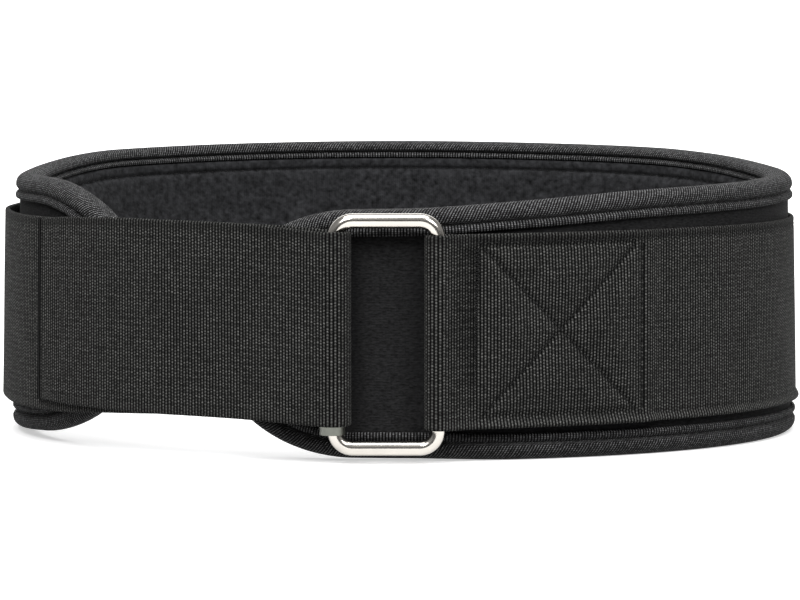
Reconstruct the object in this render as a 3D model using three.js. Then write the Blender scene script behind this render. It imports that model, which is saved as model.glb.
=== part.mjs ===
// A padded lifting belt, fastened and standing on its lower edge, with its ring at the front.
// Millimetres, +Z up. The front faces -Y and +X is to the viewer's right.
// The origin is in the middle of the belt's bounding box, at the height of the surface it stands on.
import * as THREE from "three";
import { mergeVertices } from "three/addons/utils/BufferGeometryUtils.js";

// Oval that the padding's outer face follows, seen from above
const HALF_WIDTH_RIGHT = 163.8;
const HALF_WIDTH_LEFT = 160.9;
const HALF_DEPTH = 120;
const SIDE_LEAN = 2.4; // the sides stand this much further out at the bottom than at the top

// Padded band
const BACK_HEIGHT = 116.2;
const PAD_THICKNESS = 8;
const FRONT_END_REACH = 78; // from the front middle to the tip of the end that lies under the ring
const END_SPACING = 28; // between the tips of the two ends, along the oval
const FRONT_END_ROUND = 60; // length of the rounded stretch at the front end
const LEFT_END_ROUND = 66;
const LEFT_END_LIFT = 5.2; // the left end's lower edge is this far off the surface

// Binding
const BINDING_OUTSIDE = 10.6; // width of the binding on the outer face
const BINDING_INSIDE = 7.2;
const BINDING_RISE = 1.9; // height of its lip over the padding's face
const BINDING_WALL = 1.7; // at the very edge
const EDGE_ROUND = 1.5; // how far the padding's edge is rounded off inside the binding

// Lining
const LINING_THICKNESS = 2.2;
const LINING_MARGIN = 1; // between the binding and the lining
const LINING_SEAM = 12; // from the band's edge to the seam round the raised panel

// Webbing
const WEBBING_BACK_LOW = 20.5; // height of its lower edge in the middle of the back
const WEBBING_BACK_TOP = 19.5; // from its upper edge to the band's there
const WEBBING_WIDTH = BACK_HEIGHT - WEBBING_BACK_LOW - WEBBING_BACK_TOP;
const WEBBING_THICKNESS = 2;
const LOOP_SEAM = 28; // from the front middle to the seam that closes the loop on the ring
const LOOP_ROOM = 0.5; // between the loop and the ring's wire
const LOOP_LIFT = 2.5; // how far the loop's seam stands off the padding
const LOOP_UNDER_END = 98; // from the front middle to the end of the layer folded under
const LOOP_REST = 34; // length over which the sewn loop comes down onto the padding
const FREE_LENGTH = 240; // from the ring's left bar to where the strap leaves the padding
const STRAP_STAND_OFF = 4.7; // how far the free strap stands off beside the left end
const TAIL_LENGTH = 134.5; // from the ring's left bar to the end of the tail
const FOLD_REST = 0.5; // share of the tail over which it comes down onto the strap under it

// Ring and roller
const WIRE_RADIUS = 2.9;
const LEG_SPACING = 40.4; // between the middles of the ring's upright bars
const RIGHT_LEG = 14.6; // from the front middle to the middle of the right bar
const RING_LOW = 3.4; // height of the ring's lower side
const RING_OVER_WEBBING = 18.3; // how much taller the ring is than the webbing is wide
const RING_HEIGHT = WEBBING_WIDTH + RING_OVER_WEBBING;
const RING_CORNER = 7.2; // radius of the wire's middle line
const ROLLER_BORE = 4.3;
const ROLLER_WALL = 0.8;
const ROLLER_END_PLAY = 2.4; // between the roller and the ring's bars, at each end

// Clearances and fineness
const CLEARANCE = 0.3;
const STATION_STEP = 14;
const END_STATIONS = 8;
const OVAL_SAMPLES = 1440;
const WIRE_SIDES = 10;
const CORNER_STEPS = 5;
const ARC_STEPS = 12;
const ROLLER_SIDES = 20;

// Heights round the band, from the tip of the front end to the tip of the left end.
// top: height of the upper edge, share of BACK_HEIGHT. lift: lower edge, share of LEFT_END_LIFT.
// webbing: height of the webbing's lower edge, share of WEBBING_BACK_LOW.
const HEIGHTS = [
  { along: 0.0, top: 0.845, lift: 0.22, webbing: 0.649 },
  { along: 0.094, top: 0.853, lift: 0.18, webbing: 0.649 },
  { along: 0.145, top: 0.875, lift: 0, webbing: 0.655 },
  { along: 0.21, top: 0.905, lift: 0, webbing: 0.666 },
  { along: 0.3, top: 0.922, lift: 0, webbing: 0.672 },
  { along: 0.375, top: 0.942, lift: 0, webbing: 0.696 },
  { along: 0.43, top: 0.972, lift: 0, webbing: 0.73 },
  { along: 0.465, top: 0.986, lift: 0, webbing: 0.782 },
  { along: 0.52, top: 0.994, lift: 0, webbing: 0.88 },
  { along: 0.61, top: 1.0, lift: 0, webbing: 1.0 },
  { along: 0.77, top: 0.984, lift: 0, webbing: 0.91 },
  { along: 0.865, top: 0.932, lift: 0.18, webbing: 0.838 },
  { along: 0.95, top: 0.927, lift: 0.88, webbing: 0.82 },
  { along: 1.0, top: 0.925, lift: 1, webbing: 0.82 },
];

// The free strap, from the ring's left bar to where it leaves the padding (at 0 to 1 of FREE_LENGTH).
// over: share of the binding's lip that it passes over. out: share of STRAP_STAND_OFF.
// low: lower edge, share of WEBBING_BACK_LOW. width: share of WEBBING_WIDTH.
const FREE_STRAP = [
  { at: 0.0, over: 1, out: 0, low: 0.736, width: 0.996 },
  { at: 0.08, over: 1, out: 0, low: 0.783, width: 1.005 },
  { at: 0.25, over: 1, out: 0.03, low: 0.82, width: 1.01 },
  { at: 0.4, over: 1, out: 0.1, low: 0.761, width: 1.024 },
  { at: 0.52, over: 1, out: 0.3, low: 0.685, width: 1.032 },
  { at: 0.62, over: 1, out: 0.6, low: 0.69, width: 1.032 },
  { at: 0.75, over: 0.6, out: 0.6, low: 0.75, width: 1.028 },
  { at: 0.85, over: 0.3, out: 0.36, low: 0.78, width: 1.024 },
  { at: 0.95, over: 0, out: 0.06, low: 0.85, width: 1.01 },
  { at: 1.0, over: 0, out: 0, low: 0.892, width: 1.0 },
];

// The tail's edges, from the ring's left bar to its hem (at 0 to 1 of TAIL_LENGTH)
const TAIL = [
  { at: 0.0, low: 0.736, width: 0.996 },
  { at: 0.3, low: 0.81, width: 1.01 },
  { at: 0.6, low: 0.829, width: 1.013 },
  { at: 0.85, low: 0.864, width: 0.995 },
  { at: 1.0, low: 0.917, width: 0.962 },
];

// Section of the binding on the outer face, from its edge on the face to the very edge of the band.
// inset: from the band's edge, share of the binding's width. rise: over the face, share of BINDING_RISE.
const BINDING_FACE = [
  { inset: 0.97, rise: 0.86 },
  { inset: 0.82, rise: 1.0 },
  { inset: 0.67, rise: 0.37 },
  { inset: 0.49, rise: 0.88 },
  { inset: 0.2, rise: 0.62 },
];
// Section round the very edge. inset: share of BINDING_WALL. depth: from the outer face, share of PAD_THICKNESS.
const BINDING_EDGE = [
  { inset: 0.25, depth: 0.13 },
  { inset: 0, depth: 0.35 },
  { inset: 0, depth: 0.65 },
  { inset: 0.25, depth: 0.87 },
];
// Section of the raised lining. inset: from its seam, share of LINING_SEAM. rise: share of LINING_THICKNESS.
const LINING_SECTION = [
  { inset: 0.0, rise: 0.32 },
  { inset: 0.16, rise: 0.8 },
  { inset: 0.6, rise: 1.0 },
];

// Smooth curve through a table's rows: the value of one column at a place on its first column.
// It doesn't swing past the rows, so a level stretch stays level.
function follow(table, key, column, at) {
  const last = table.length - 1;
  const rise = (i) => (table[i + 1][column] - table[i][column]) / (table[i + 1][key] - table[i][key]);
  const slope = (i) => {
    const before = rise(Math.max(i - 1, 0));
    const after = rise(Math.min(i, last - 1));
    return before * after > 0 ? (2 * before * after) / (before + after) : 0;
  };
  const found = table.findIndex((row) => row[key] > at);
  const i = found < 0 ? last - 1 : Math.max(found - 1, 0);
  const span = table[i + 1][key] - table[i][key];
  const t = THREE.MathUtils.clamp((at - table[i][key]) / span, 0, 1);
  const rest = 1 - t;
  return (
    table[i][column] * (1 + 2 * t) * rest * rest +
    table[i + 1][column] * t * t * (3 - 2 * t) +
    span * slope(i) * t * rest * rest -
    span * slope(i + 1) * t * t * rest
  );
}

// The oval by arc length: s runs from the front middle to the right, round the back and on.
const oval = (() => {
  const lengths = [0];
  const turn = (i) => (i / OVAL_SAMPLES) * 2 * Math.PI;
  const point = (angle) => {
    const halfWidth = Math.sin(angle) > 0 ? HALF_WIDTH_RIGHT : HALF_WIDTH_LEFT;
    return new THREE.Vector2(halfWidth * Math.sin(angle), -HALF_DEPTH * Math.cos(angle));
  };
  for (let i = 1; i <= OVAL_SAMPLES; i += 1)
    lengths.push(lengths[i - 1] + point(turn(i)).distanceTo(point(turn(i - 1))));
  const length = lengths[OVAL_SAMPLES];
  const angleAt = (s) => {
    const wanted = THREE.MathUtils.euclideanModulo(s, length);
    const i = lengths.findIndex((value) => value > wanted) - 1;
    return turn(i + (wanted - lengths[i]) / (lengths[i + 1] - lengths[i]));
  };
  return { length, angleAt, point };
})();

// Outward direction of the oval, level with the surface
function outwardAt(s) {
  const angle = oval.angleAt(s);
  const halfWidth = Math.sin(angle) > 0 ? HALF_WIDTH_RIGHT : HALF_WIDTH_LEFT;
  return new THREE.Vector2(HALF_DEPTH * Math.sin(angle), -halfWidth * Math.cos(angle)).normalize();
}

// How far the leaning sides shift a point outwards at a height
function leanAt(s, z) {
  return SIDE_LEAN * Math.sin(oval.angleAt(s)) ** 2 * (0.5 - z / BACK_HEIGHT);
}

// A point of the belt: s along the oval, out from the padding's outer face, z up
function place(s, out, z) {
  const flat = oval.point(oval.angleAt(s)).addScaledVector(outwardAt(s), out + leanAt(s, z));
  return new THREE.Vector3(flat.x, flat.y, z);
}

const FRONT_TIP = -FRONT_END_REACH;
const LEFT_TIP = oval.length - FRONT_END_REACH - END_SPACING;
const BAND_LENGTH = LEFT_TIP - FRONT_TIP;
const alongBand = (s) => (s - FRONT_TIP) / BAND_LENGTH;
const bandTop = (s) => BACK_HEIGHT * follow(HEIGHTS, "along", "top", alongBand(s));
const bandBottom = (s) => LEFT_END_LIFT * follow(HEIGHTS, "along", "lift", alongBand(s));
const webbingLow = (s) => WEBBING_BACK_LOW * follow(HEIGHTS, "along", "webbing", alongBand(s));

// Stations along the band: half ellipses at the ends, an even step between them
const stations = (() => {
  const rows = [];
  for (let i = 0; i < END_STATIONS; i += 1) {
    const angle = (i / END_STATIONS) * (Math.PI / 2);
    rows.push({ s: FRONT_TIP + FRONT_END_ROUND * (1 - Math.cos(angle)), open: Math.sin(angle) });
  }
  const from = FRONT_TIP + FRONT_END_ROUND;
  const to = LEFT_TIP - LEFT_END_ROUND;
  const steps = Math.round((to - from) / STATION_STEP);
  for (let i = 0; i <= steps; i += 1) rows.push({ s: from + ((to - from) * i) / steps, open: 1 });
  for (let i = END_STATIONS - 1; i >= 0; i -= 1) {
    const angle = (i / END_STATIONS) * (Math.PI / 2);
    rows.push({ s: LEFT_TIP - LEFT_END_ROUND * (1 - Math.cos(angle)), open: Math.sin(angle) });
  }
  return rows;
})();

// The band's outline laid flat, (s, z), as one closed loop: lower edge out, upper edge back.
const outline = (() => {
  const edge = ({ s, open }, side) => {
    const middle = (bandTop(s) + bandBottom(s)) / 2;
    const half = (bandTop(s) - bandBottom(s)) / 2;
    return new THREE.Vector2(s, middle + side * half * open);
  };
  const lower = stations.map((station) => edge(station, -1));
  const upper = stations.slice(1, -1).map((station) => edge(station, 1));
  const points = [...lower, ...upper.reverse()];
  return points.map((point, i) => {
    const before = points[(i + points.length - 1) % points.length];
    const after = points[(i + 1) % points.length];
    const along = after.clone().sub(before).normalize();
    return { point, inward: new THREE.Vector2(-along.y, along.x) };
  });
})();

// A point of the flat outline moved inwards by an inset
function insetPoint(i, inset) {
  const { point, inward } = outline[(i + outline.length) % outline.length];
  return point.clone().addScaledVector(inward, inset);
}

// One closed body from sections of equally many points. A ring of sections closes on itself, other
// sections are capped or narrow to a line. Faces that narrow to nothing are left out.
function solidFrom(sections, { ring = false, capped = false } = {}) {
  const count = sections[0].length;
  const index = [];
  const at = (i, k) => (i % sections.length) * count + (k % count);
  for (let i = 0; i < sections.length - (ring ? 0 : 1); i += 1)
    for (let k = 0; k < count; k += 1) {
      index.push(at(i, k), at(i + 1, k), at(i + 1, k + 1));
      index.push(at(i, k), at(i + 1, k + 1), at(i, k + 1));
    }
  if (capped)
    for (let k = 1; k < count - 1; k += 1) {
      index.push(at(0, 0), at(0, k), at(0, k + 1));
      index.push(at(sections.length - 1, 0), at(sections.length - 1, k + 1), at(sections.length - 1, k));
    }
  const raw = new THREE.BufferGeometry().setFromPoints(sections.flat());
  raw.setIndex(index);
  return facingOut(mergeVertices(raw, 1e-3));
}

// The geometry without empty faces, turned so that its faces point out
function facingOut(geometry) {
  const { array } = geometry.attributes.position;
  const corner = (i) => new THREE.Vector3().fromArray(array, 3 * i);
  const faces = [];
  let volume = 0;
  for (let i = 0; i < geometry.index.count; i += 3) {
    const [a, b, c] = geometry.index.array.slice(i, i + 3);
    if (a === b || b === c || c === a) continue;
    faces.push([a, b, c]);
    volume += corner(a).dot(corner(b).cross(corner(c)));
  }
  geometry.setIndex(faces.flatMap(([a, b, c]) => (volume > 0 ? [a, b, c] : [a, c, b])));
  geometry.computeVertexNormals();
  return geometry;
}

// Sections across the band: rows {inset, out} at its lower edge, mirrored at its upper edge, with
// some points across the face between them on the side that the last row ends on.
function bandSections(rows, across, backAcross) {
  const lastStation = stations.length - 1;
  return stations.map((_, i) => {
    const lower = (row) => insetPoint(i, row.inset);
    const upper = (row) => insetPoint(i === 0 || i === lastStation ? i : -i, row.inset);
    const between = (row, share) => lower(row).lerp(upper(row), share);
    const points = rows.map((row) => [lower(row), row.out]);
    const face = rows[rows.length - 1];
    const back = rows[0];
    for (let k = 1; k <= across; k += 1) points.push([between(face, k / (across + 1)), face.out]);
    for (const row of [...rows].reverse()) points.push([upper(row), row.out]);
    for (let k = backAcross; k >= 1; k -= 1)
      points.push([between(back, k / (backAcross + 1)), back.out]);
    return points.map(([flat, out]) => place(flat.x, out, flat.y));
  });
}

// Rounded edge of the padding, from its inner face to its outer face
function paddingEdge(grow) {
  const start = BINDING_WALL + CLEARANCE;
  const side = 0.25 * PAD_THICKNESS;
  return [
    { inset: start + EDGE_ROUND, out: -PAD_THICKNESS - grow },
    { inset: start - grow, out: -PAD_THICKNESS + side },
    { inset: start - grow, out: -side },
    { inset: start + EDGE_ROUND, out: grow },
  ];
}

function paddedBody() {
  return solidFrom(bandSections(paddingEdge(0), 3, 2));
}

function liningPanel() {
  const innerFace = -PAD_THICKNESS - CLEARANCE;
  const start = BINDING_INSIDE + LINING_MARGIN;
  const rows = [
    { inset: start, out: innerFace },
    { inset: start, out: innerFace - 0.3 * LINING_THICKNESS },
    ...LINING_SECTION.map(({ inset, rise }) => ({
      inset: LINING_SEAM * (1 + inset),
      out: innerFace - rise * LINING_THICKNESS,
    })),
  ];
  return solidFrom(bandSections(rows, 1, 1));
}

// The binding: one profile carried round the band's whole outline
function edgeBinding() {
  const outside = BINDING_FACE.map(({ inset, rise }) => ({
    inset: inset * BINDING_OUTSIDE,
    out: rise * BINDING_RISE,
  }));
  const inside = BINDING_FACE.map(({ inset, rise }) => ({
    inset: inset * BINDING_INSIDE,
    out: -PAD_THICKNESS - rise * BINDING_RISE,
  }));
  const edge = BINDING_EDGE.map(({ inset, depth }) => ({
    inset: inset * BINDING_WALL,
    out: -depth * PAD_THICKNESS,
  }));
  const profile = [
    { inset: BINDING_OUTSIDE, out: CLEARANCE },
    ...outside,
    ...edge,
    ...inside.reverse(),
    { inset: BINDING_INSIDE, out: -PAD_THICKNESS - CLEARANCE },
    ...paddingEdge(CLEARANCE),
  ];
  const sections = outline.map((_, i) =>
    profile.map(({ inset, out }) => {
      const flat = insetPoint(i, inset);
      return place(flat.x, out, flat.y);
    }),
  );
  return solidFrom(sections, { ring: true });
}

// Where the ring's bars stand, seen from above
const LEFT_LEG = RIGHT_LEG - LEG_SPACING;
const ON_FACE = CLEARANCE + WEBBING_THICKNESS / 2;
const LAYER = WEBBING_THICKNESS + CLEARANCE;
const ROLLER_RADIUS = ROLLER_BORE + ROLLER_WALL;
const ROLLER_PULL = ROLLER_BORE - WIRE_RADIUS - 2 * CLEARANCE; // the strap pulls the roller to the left
const FOLD_RADIUS = ROLLER_RADIUS + CLEARANCE + WEBBING_THICKNESS / 2;
const LOOP_RADIUS = WIRE_RADIUS + LOOP_ROOM + WEBBING_THICKNESS / 2;
const OVER_LIP = ON_FACE + BINDING_RISE;
const RING_Y = place(LEFT_LEG, OVER_LIP + FOLD_RADIUS, 0).y;
const rightLeg = new THREE.Vector2(RIGHT_LEG, RING_Y);
const rollerAxis = new THREE.Vector2(LEFT_LEG - ROLLER_PULL, RING_Y);

// Angle, seen from the bar's middle, of the point where a line from a place touches a circle round it
function touchAngle(middle, radius, from, side) {
  const reach = from.clone().sub(middle);
  return reach.angle() + side * Math.acos(radius / reach.length());
}

// Half turn of webbing round a bar, between the touch points of the layers that lead to it.
// side is 1 where it turns anticlockwise, seen from above, and -1 where it turns clockwise.
function turnRound(middle, radius, first, second, edges, side) {
  const start = touchAngle(middle, radius, first, side);
  let end = touchAngle(middle, radius, second, -side);
  while ((end - start) * side < 0) end += side * 2 * Math.PI;
  return Array.from({ length: ARC_STEPS + 1 }, (_, i) => {
    const angle = start + ((end - start) * i) / ARC_STEPS;
    const flat = new THREE.Vector2(Math.cos(angle), Math.sin(angle)).multiplyScalar(radius).add(middle);
    return { flat, s: 0, lean: 0, ...edges };
  });
}

// A station of the webbing: its middle line in plan, and its lower and upper edge
function webbingStation(s, out, low, width) {
  const flat = oval.point(oval.angleAt(s)).addScaledVector(outwardAt(s), out);
  return { flat, s, lean: 1, low, width };
}

const sewnOut = (s) =>
  ON_FACE + LOOP_LIFT * (1 - THREE.MathUtils.smoothstep(s, LOOP_SEAM, LOOP_SEAM + LOOP_REST));

// Middle line of the whole webbing, from the end folded under at the right to the tail's hem
function webbingPath() {
  const path = [];
  const start = oval.length + LEFT_LEG;
  const leave = start - FREE_LENGTH;
  const free = (s) => {
    const at = (start - s) / FREE_LENGTH;
    const over = follow(FREE_STRAP, "at", "over", at) * BINDING_RISE;
    const out = ON_FACE + over + follow(FREE_STRAP, "at", "out", at) * STRAP_STAND_OFF;
    const low = follow(FREE_STRAP, "at", "low", at) * WEBBING_BACK_LOW;
    return webbingStation(s, out, low, follow(FREE_STRAP, "at", "width", at) * WEBBING_WIDTH);
  };
  const sewn = (s, layers) => webbingStation(s, sewnOut(s) + layers * LAYER, webbingLow(s), WEBBING_WIDTH);
  const inLoop = stations.map(({ s }) => s).filter((s) => s > LOOP_SEAM + 1 && s < LOOP_UNDER_END - 1);

  const under = [LOOP_UNDER_END, ...inLoop.reverse(), LOOP_SEAM].map((s) => sewn(s, 0));
  const over = [LOOP_SEAM, ...inLoop.reverse(), LOOP_UNDER_END].map((s) => sewn(s, 1));
  const loopEdges = { low: webbingLow(RIGHT_LEG), width: WEBBING_WIDTH };
  const [first, second] = [under[under.length - 1].flat, over[0].flat];
  path.push(...under, ...turnRound(rightLeg, LOOP_RADIUS, first, second, loopEdges, 1), ...over);

  const onBand = stations
    .map(({ s }) => s)
    .filter((s) => s > LOOP_UNDER_END + 2 * LAYER && s < leave);
  path.push(...onBand.map((s) => sewn(s, 0)));

  const freeSteps = Math.round(FREE_LENGTH / (STATION_STEP / 2));
  const nearRoller = FREE_STRAP[1].at * FREE_LENGTH;
  for (let i = 0; i <= freeSteps; i += 1)
    path.push(free(leave + ((FREE_LENGTH - nearRoller) * i) / freeSteps));

  const tail = (at) => {
    const s = start - at * TAIL_LENGTH;
    const beneath = free(s);
    const low = follow(TAIL, "at", "low", at) * WEBBING_BACK_LOW;
    const station = webbingStation(s, 0, low, follow(TAIL, "at", "width", at) * WEBBING_WIDTH);
    station.flat = beneath.flat.addScaledVector(outwardAt(s), LAYER);
    return station;
  };
  const tailSteps = Math.round((TAIL_LENGTH * (1 - FOLD_REST)) / (STATION_STEP / 2));
  const laid = Array.from({ length: tailSteps + 1 }, (_, i) =>
    tail(FOLD_REST + ((1 - FOLD_REST) * i) / tailSteps),
  );
  const foldEdges = { low: TAIL[0].low * WEBBING_BACK_LOW, width: TAIL[0].width * WEBBING_WIDTH };
  const lastFree = path[path.length - 1].flat;
  path.push(...turnRound(rollerAxis, FOLD_RADIUS, lastFree, laid[0].flat, foldEdges, -1), ...laid);
  return path;
}

function webbingStrap() {
  const path = webbingPath();
  const half = WEBBING_THICKNESS / 2;
  const sections = path.map(({ flat, s, lean, low, width }, i) => {
    const before = path[Math.max(i - 1, 0)].flat;
    const after = path[Math.min(i + 1, path.length - 1)].flat;
    const along = after.clone().sub(before).normalize();
    const across = new THREE.Vector2(along.y, -along.x);
    return [
      [-half, low],
      [half, low],
      [half, low + width],
      [-half, low + width],
    ].map(([aside, z]) => {
      const at = flat.clone().addScaledVector(across, aside);
      if (lean) at.addScaledVector(outwardAt(s), leanAt(s, z));
      return new THREE.Vector3(at.x, at.y, z);
    });
  });
  return solidFrom(sections, { capped: true });
}

// Middle line of the ring's wire, (x, z), as a rounded rectangle
function ringLine() {
  const [left, right] = [LEFT_LEG + RING_CORNER, RIGHT_LEG - RING_CORNER];
  const low = RING_LOW + WIRE_RADIUS + RING_CORNER;
  const high = RING_LOW + RING_HEIGHT - WIRE_RADIUS - RING_CORNER;
  const corners = [
    { x: right, z: low, from: -90 },
    { x: right, z: high, from: 0 },
    { x: left, z: high, from: 90 },
    { x: left, z: low, from: 180 },
  ];
  return corners.flatMap(({ x, z, from }) =>
    Array.from({ length: CORNER_STEPS + 1 }, (_, i) => {
      const angle = THREE.MathUtils.degToRad(from + (90 * i) / CORNER_STEPS);
      const outward = new THREE.Vector3(Math.cos(angle), 0, Math.sin(angle));
      const middle = new THREE.Vector3(x, RING_Y, z).addScaledVector(outward, RING_CORNER);
      return { middle, outward };
    }),
  );
}

function buckleRing() {
  const sections = ringLine().map(({ middle, outward }) =>
    Array.from({ length: WIRE_SIDES }, (_, k) => {
      const angle = (k / WIRE_SIDES) * 2 * Math.PI;
      const point = middle.clone().addScaledVector(outward, WIRE_RADIUS * Math.cos(angle));
      point.y += WIRE_RADIUS * Math.sin(angle);
      return point;
    }),
  );
  return solidFrom(sections, { ring: true });
}

function ringRoller() {
  const low = RING_LOW + 2 * WIRE_RADIUS + ROLLER_END_PLAY;
  const high = RING_LOW + RING_HEIGHT - 2 * WIRE_RADIUS - ROLLER_END_PLAY;
  const wall = [
    [ROLLER_BORE, low],
    [ROLLER_RADIUS, low],
    [ROLLER_RADIUS, high],
    [ROLLER_BORE, high],
    [ROLLER_BORE, low],
  ].map(([radius, z]) => new THREE.Vector2(radius, z));
  const lathe = new THREE.LatheGeometry(wall, ROLLER_SIDES);
  lathe.deleteAttribute("normal");
  lathe.deleteAttribute("uv");
  lathe.rotateX(Math.PI / 2);
  return facingOut(mergeVertices(lathe, 1e-3));
}

function mesh(name, geometry, color, roughness, metalness = 0) {
  const made = new THREE.Mesh(geometry, new THREE.MeshStandardMaterial({ color, roughness, metalness }));
  made.name = name;
  return made;
}

const belt = new THREE.Group();
const roller = mesh("ring_roller", ringRoller(), 0x8a8a86, 0.35);
roller.position.set(rollerAxis.x, rollerAxis.y, 0);
belt.add(
  mesh("padded_body", paddedBody(), 0x1c1c1e, 0.9),
  mesh("lining_panel", liningPanel(), 0x26272b, 1),
  mesh("edge_binding", edgeBinding(), 0x232325, 0.85),
  mesh("webbing_strap", webbingStrap(), 0x2c2c2d, 0.8),
  mesh("buckle_ring", buckleRing(), 0xb9b4ac, 0.25, 1),
  roller,
);

// The group stands with the middle of its bounding box over the origin, on the surface
const box = new THREE.Box3().setFromObject(belt);
const middle = box.getCenter(new THREE.Vector3());
belt.position.set(-middle.x, -middle.y, -box.min.z);

export default belt;
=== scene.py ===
"""Looks of a padded lifting belt that stands on its lower edge, fastened through a ring.

Every piece is worked out from the sizes in BeltSizes and a few short tables, in metres, in the
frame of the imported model. A place on the belt is (s, out, z): s along the oval of the padding's
outer face from the front middle to the right, out from that face, z up.
"""

import bmesh
import bpy
import numpy as np
from bpy.props import FloatProperty, FloatVectorProperty, PointerProperty
from mathutils import Euler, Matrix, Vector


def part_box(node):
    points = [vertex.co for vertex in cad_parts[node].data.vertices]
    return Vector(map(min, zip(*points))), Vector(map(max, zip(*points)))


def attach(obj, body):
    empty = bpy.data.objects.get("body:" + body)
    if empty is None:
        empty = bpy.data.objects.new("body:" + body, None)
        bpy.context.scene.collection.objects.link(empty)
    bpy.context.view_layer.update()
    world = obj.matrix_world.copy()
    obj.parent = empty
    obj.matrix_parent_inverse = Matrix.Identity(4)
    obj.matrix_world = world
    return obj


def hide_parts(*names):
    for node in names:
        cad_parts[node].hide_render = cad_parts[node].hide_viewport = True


bl_info = {
    "name": "Padded lifting belt",
    "version": (1, 0, 0),
    "blender": (4, 5, 0),
    "location": "3D View > Sidebar > Belt",
    "description": "Builds the cloth, webbing, stitching and ring of a padded lifting belt",
    "category": "Add Mesh",
}

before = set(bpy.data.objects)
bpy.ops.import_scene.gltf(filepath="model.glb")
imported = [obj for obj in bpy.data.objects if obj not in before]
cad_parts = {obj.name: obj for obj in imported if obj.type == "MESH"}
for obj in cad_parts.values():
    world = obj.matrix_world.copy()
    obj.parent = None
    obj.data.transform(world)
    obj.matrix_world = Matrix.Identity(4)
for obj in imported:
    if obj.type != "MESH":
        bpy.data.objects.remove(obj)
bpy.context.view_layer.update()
RING_BOX = np.array(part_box("buckle_ring"))

MM = 0.001

# Points of the oval by which its length is measured, of the binding's outer shell, and of the
# webbing's outer face, whose back has one point for every few of these.
OVAL_POINTS = 2881
SHELL_POINTS = 57
WEBBING_POINTS = 97
WEBBING_BACK_STEP = 6

# How far the padding's sharp edges are cut back
PAD_BEVEL = 1.5 * MM

# Parts of the strap by which layer lies where
UNDER, OVER, SEWN, FREE, BACK_OVER = range(5)

# Heights round the band, from the front end's tip to the left end's tip: the upper edge as a share
# of the back height, the lower edge as a share of the left end's lift, and the webbing's lower
# edge as a share of its height at the back.
HEIGHTS = [
    {"along": 0.0, "top": 0.845, "lift": 0.22, "webbing": 0.649},
    {"along": 0.094, "top": 0.853, "lift": 0.18, "webbing": 0.649},
    {"along": 0.145, "top": 0.875, "lift": 0.0, "webbing": 0.655},
    {"along": 0.21, "top": 0.905, "lift": 0.0, "webbing": 0.666},
    {"along": 0.3, "top": 0.922, "lift": 0.0, "webbing": 0.672},
    {"along": 0.375, "top": 0.942, "lift": 0.0, "webbing": 0.696},
    {"along": 0.43, "top": 0.972, "lift": 0.0, "webbing": 0.73},
    {"along": 0.465, "top": 0.986, "lift": 0.0, "webbing": 0.782},
    {"along": 0.52, "top": 0.994, "lift": 0.0, "webbing": 0.88},
    {"along": 0.61, "top": 1.0, "lift": 0.0, "webbing": 1.0},
    {"along": 0.77, "top": 0.984, "lift": 0.0, "webbing": 0.91},
    {"along": 0.865, "top": 0.932, "lift": 0.18, "webbing": 0.838},
    {"along": 0.95, "top": 0.927, "lift": 0.88, "webbing": 0.82},
    {"along": 1.0, "top": 0.925, "lift": 1.0, "webbing": 0.82},
]

# The free strap from the ring's left bar to where it leaves the padding: how far it passes over
# the binding's lip, how far it stands off, its lower edge and its width, each a share of its size.
FREE_STRAP = [
    {"at": 0.0, "over": 1.0, "out": 0.0, "low": 0.736, "width": 0.996},
    {"at": 0.08, "over": 1.0, "out": 0.0, "low": 0.783, "width": 1.005},
    {"at": 0.25, "over": 1.0, "out": 0.03, "low": 0.82, "width": 1.01},
    {"at": 0.4, "over": 1.0, "out": 0.1, "low": 0.761, "width": 1.024},
    {"at": 0.52, "over": 1.0, "out": 0.3, "low": 0.685, "width": 1.032},
    {"at": 0.62, "over": 1.0, "out": 0.6, "low": 0.69, "width": 1.032},
    {"at": 0.75, "over": 0.6, "out": 0.6, "low": 0.75, "width": 1.028},
    {"at": 0.85, "over": 0.3, "out": 0.36, "low": 0.78, "width": 1.024},
    {"at": 0.95, "over": 0.0, "out": 0.06, "low": 0.85, "width": 1.01},
    {"at": 1.0, "over": 0.0, "out": 0.0, "low": 0.892, "width": 1.0},
]

# The tail's lower edge and width, from the ring's left bar to its hem
TAIL = [
    {"at": 0.0, "low": 0.736, "width": 0.996},
    {"at": 0.3, "low": 0.81, "width": 1.01},
    {"at": 0.6, "low": 0.829, "width": 1.013},
    {"at": 0.85, "low": 0.864, "width": 0.995},
    {"at": 1.0, "low": 0.917, "width": 0.962},
]

# Section of the binding from its edge on a face to the band's very edge: inset as a share of the
# binding's width there, rise over the face as a share of the lip's rise.
BINDING_FACE = [
    {"inset": 1.0, "rise": 0.35},
    {"inset": 0.96, "rise": 0.86},
    {"inset": 0.84, "rise": 1.0},
    {"inset": 0.74, "rise": 0.7},
    {"inset": 0.67, "rise": 0.2},
    {"inset": 0.59, "rise": 0.66},
    {"inset": 0.44, "rise": 0.95},
    {"inset": 0.2, "rise": 0.55},
]
# Section round the very edge: inset as a share of the wall, depth as a share of the padding
BINDING_EDGE = [
    {"inset": 0.25, "depth": 0.13},
    {"inset": 0.0, "depth": 0.37},
    {"inset": 0.0, "depth": 0.63},
    {"inset": 0.25, "depth": 0.87},
]
GROOVE_ROW = 4

# Section of the lining from its outer edge: inset past the seam as a share of the seam's inset,
# rise as a share of the lining's thickness.
LINING_SECTION = [
    {"inset": -0.37, "rise": 0.35},
    {"inset": -0.3, "rise": 0.62},
    {"inset": -0.12, "rise": 0.66},
    {"inset": 0.0, "rise": 0.24},
    {"inset": 0.12, "rise": 0.74},
    {"inset": 0.4, "rise": 0.96},
    {"inset": 1.0, "rise": 1.0},
]


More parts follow.
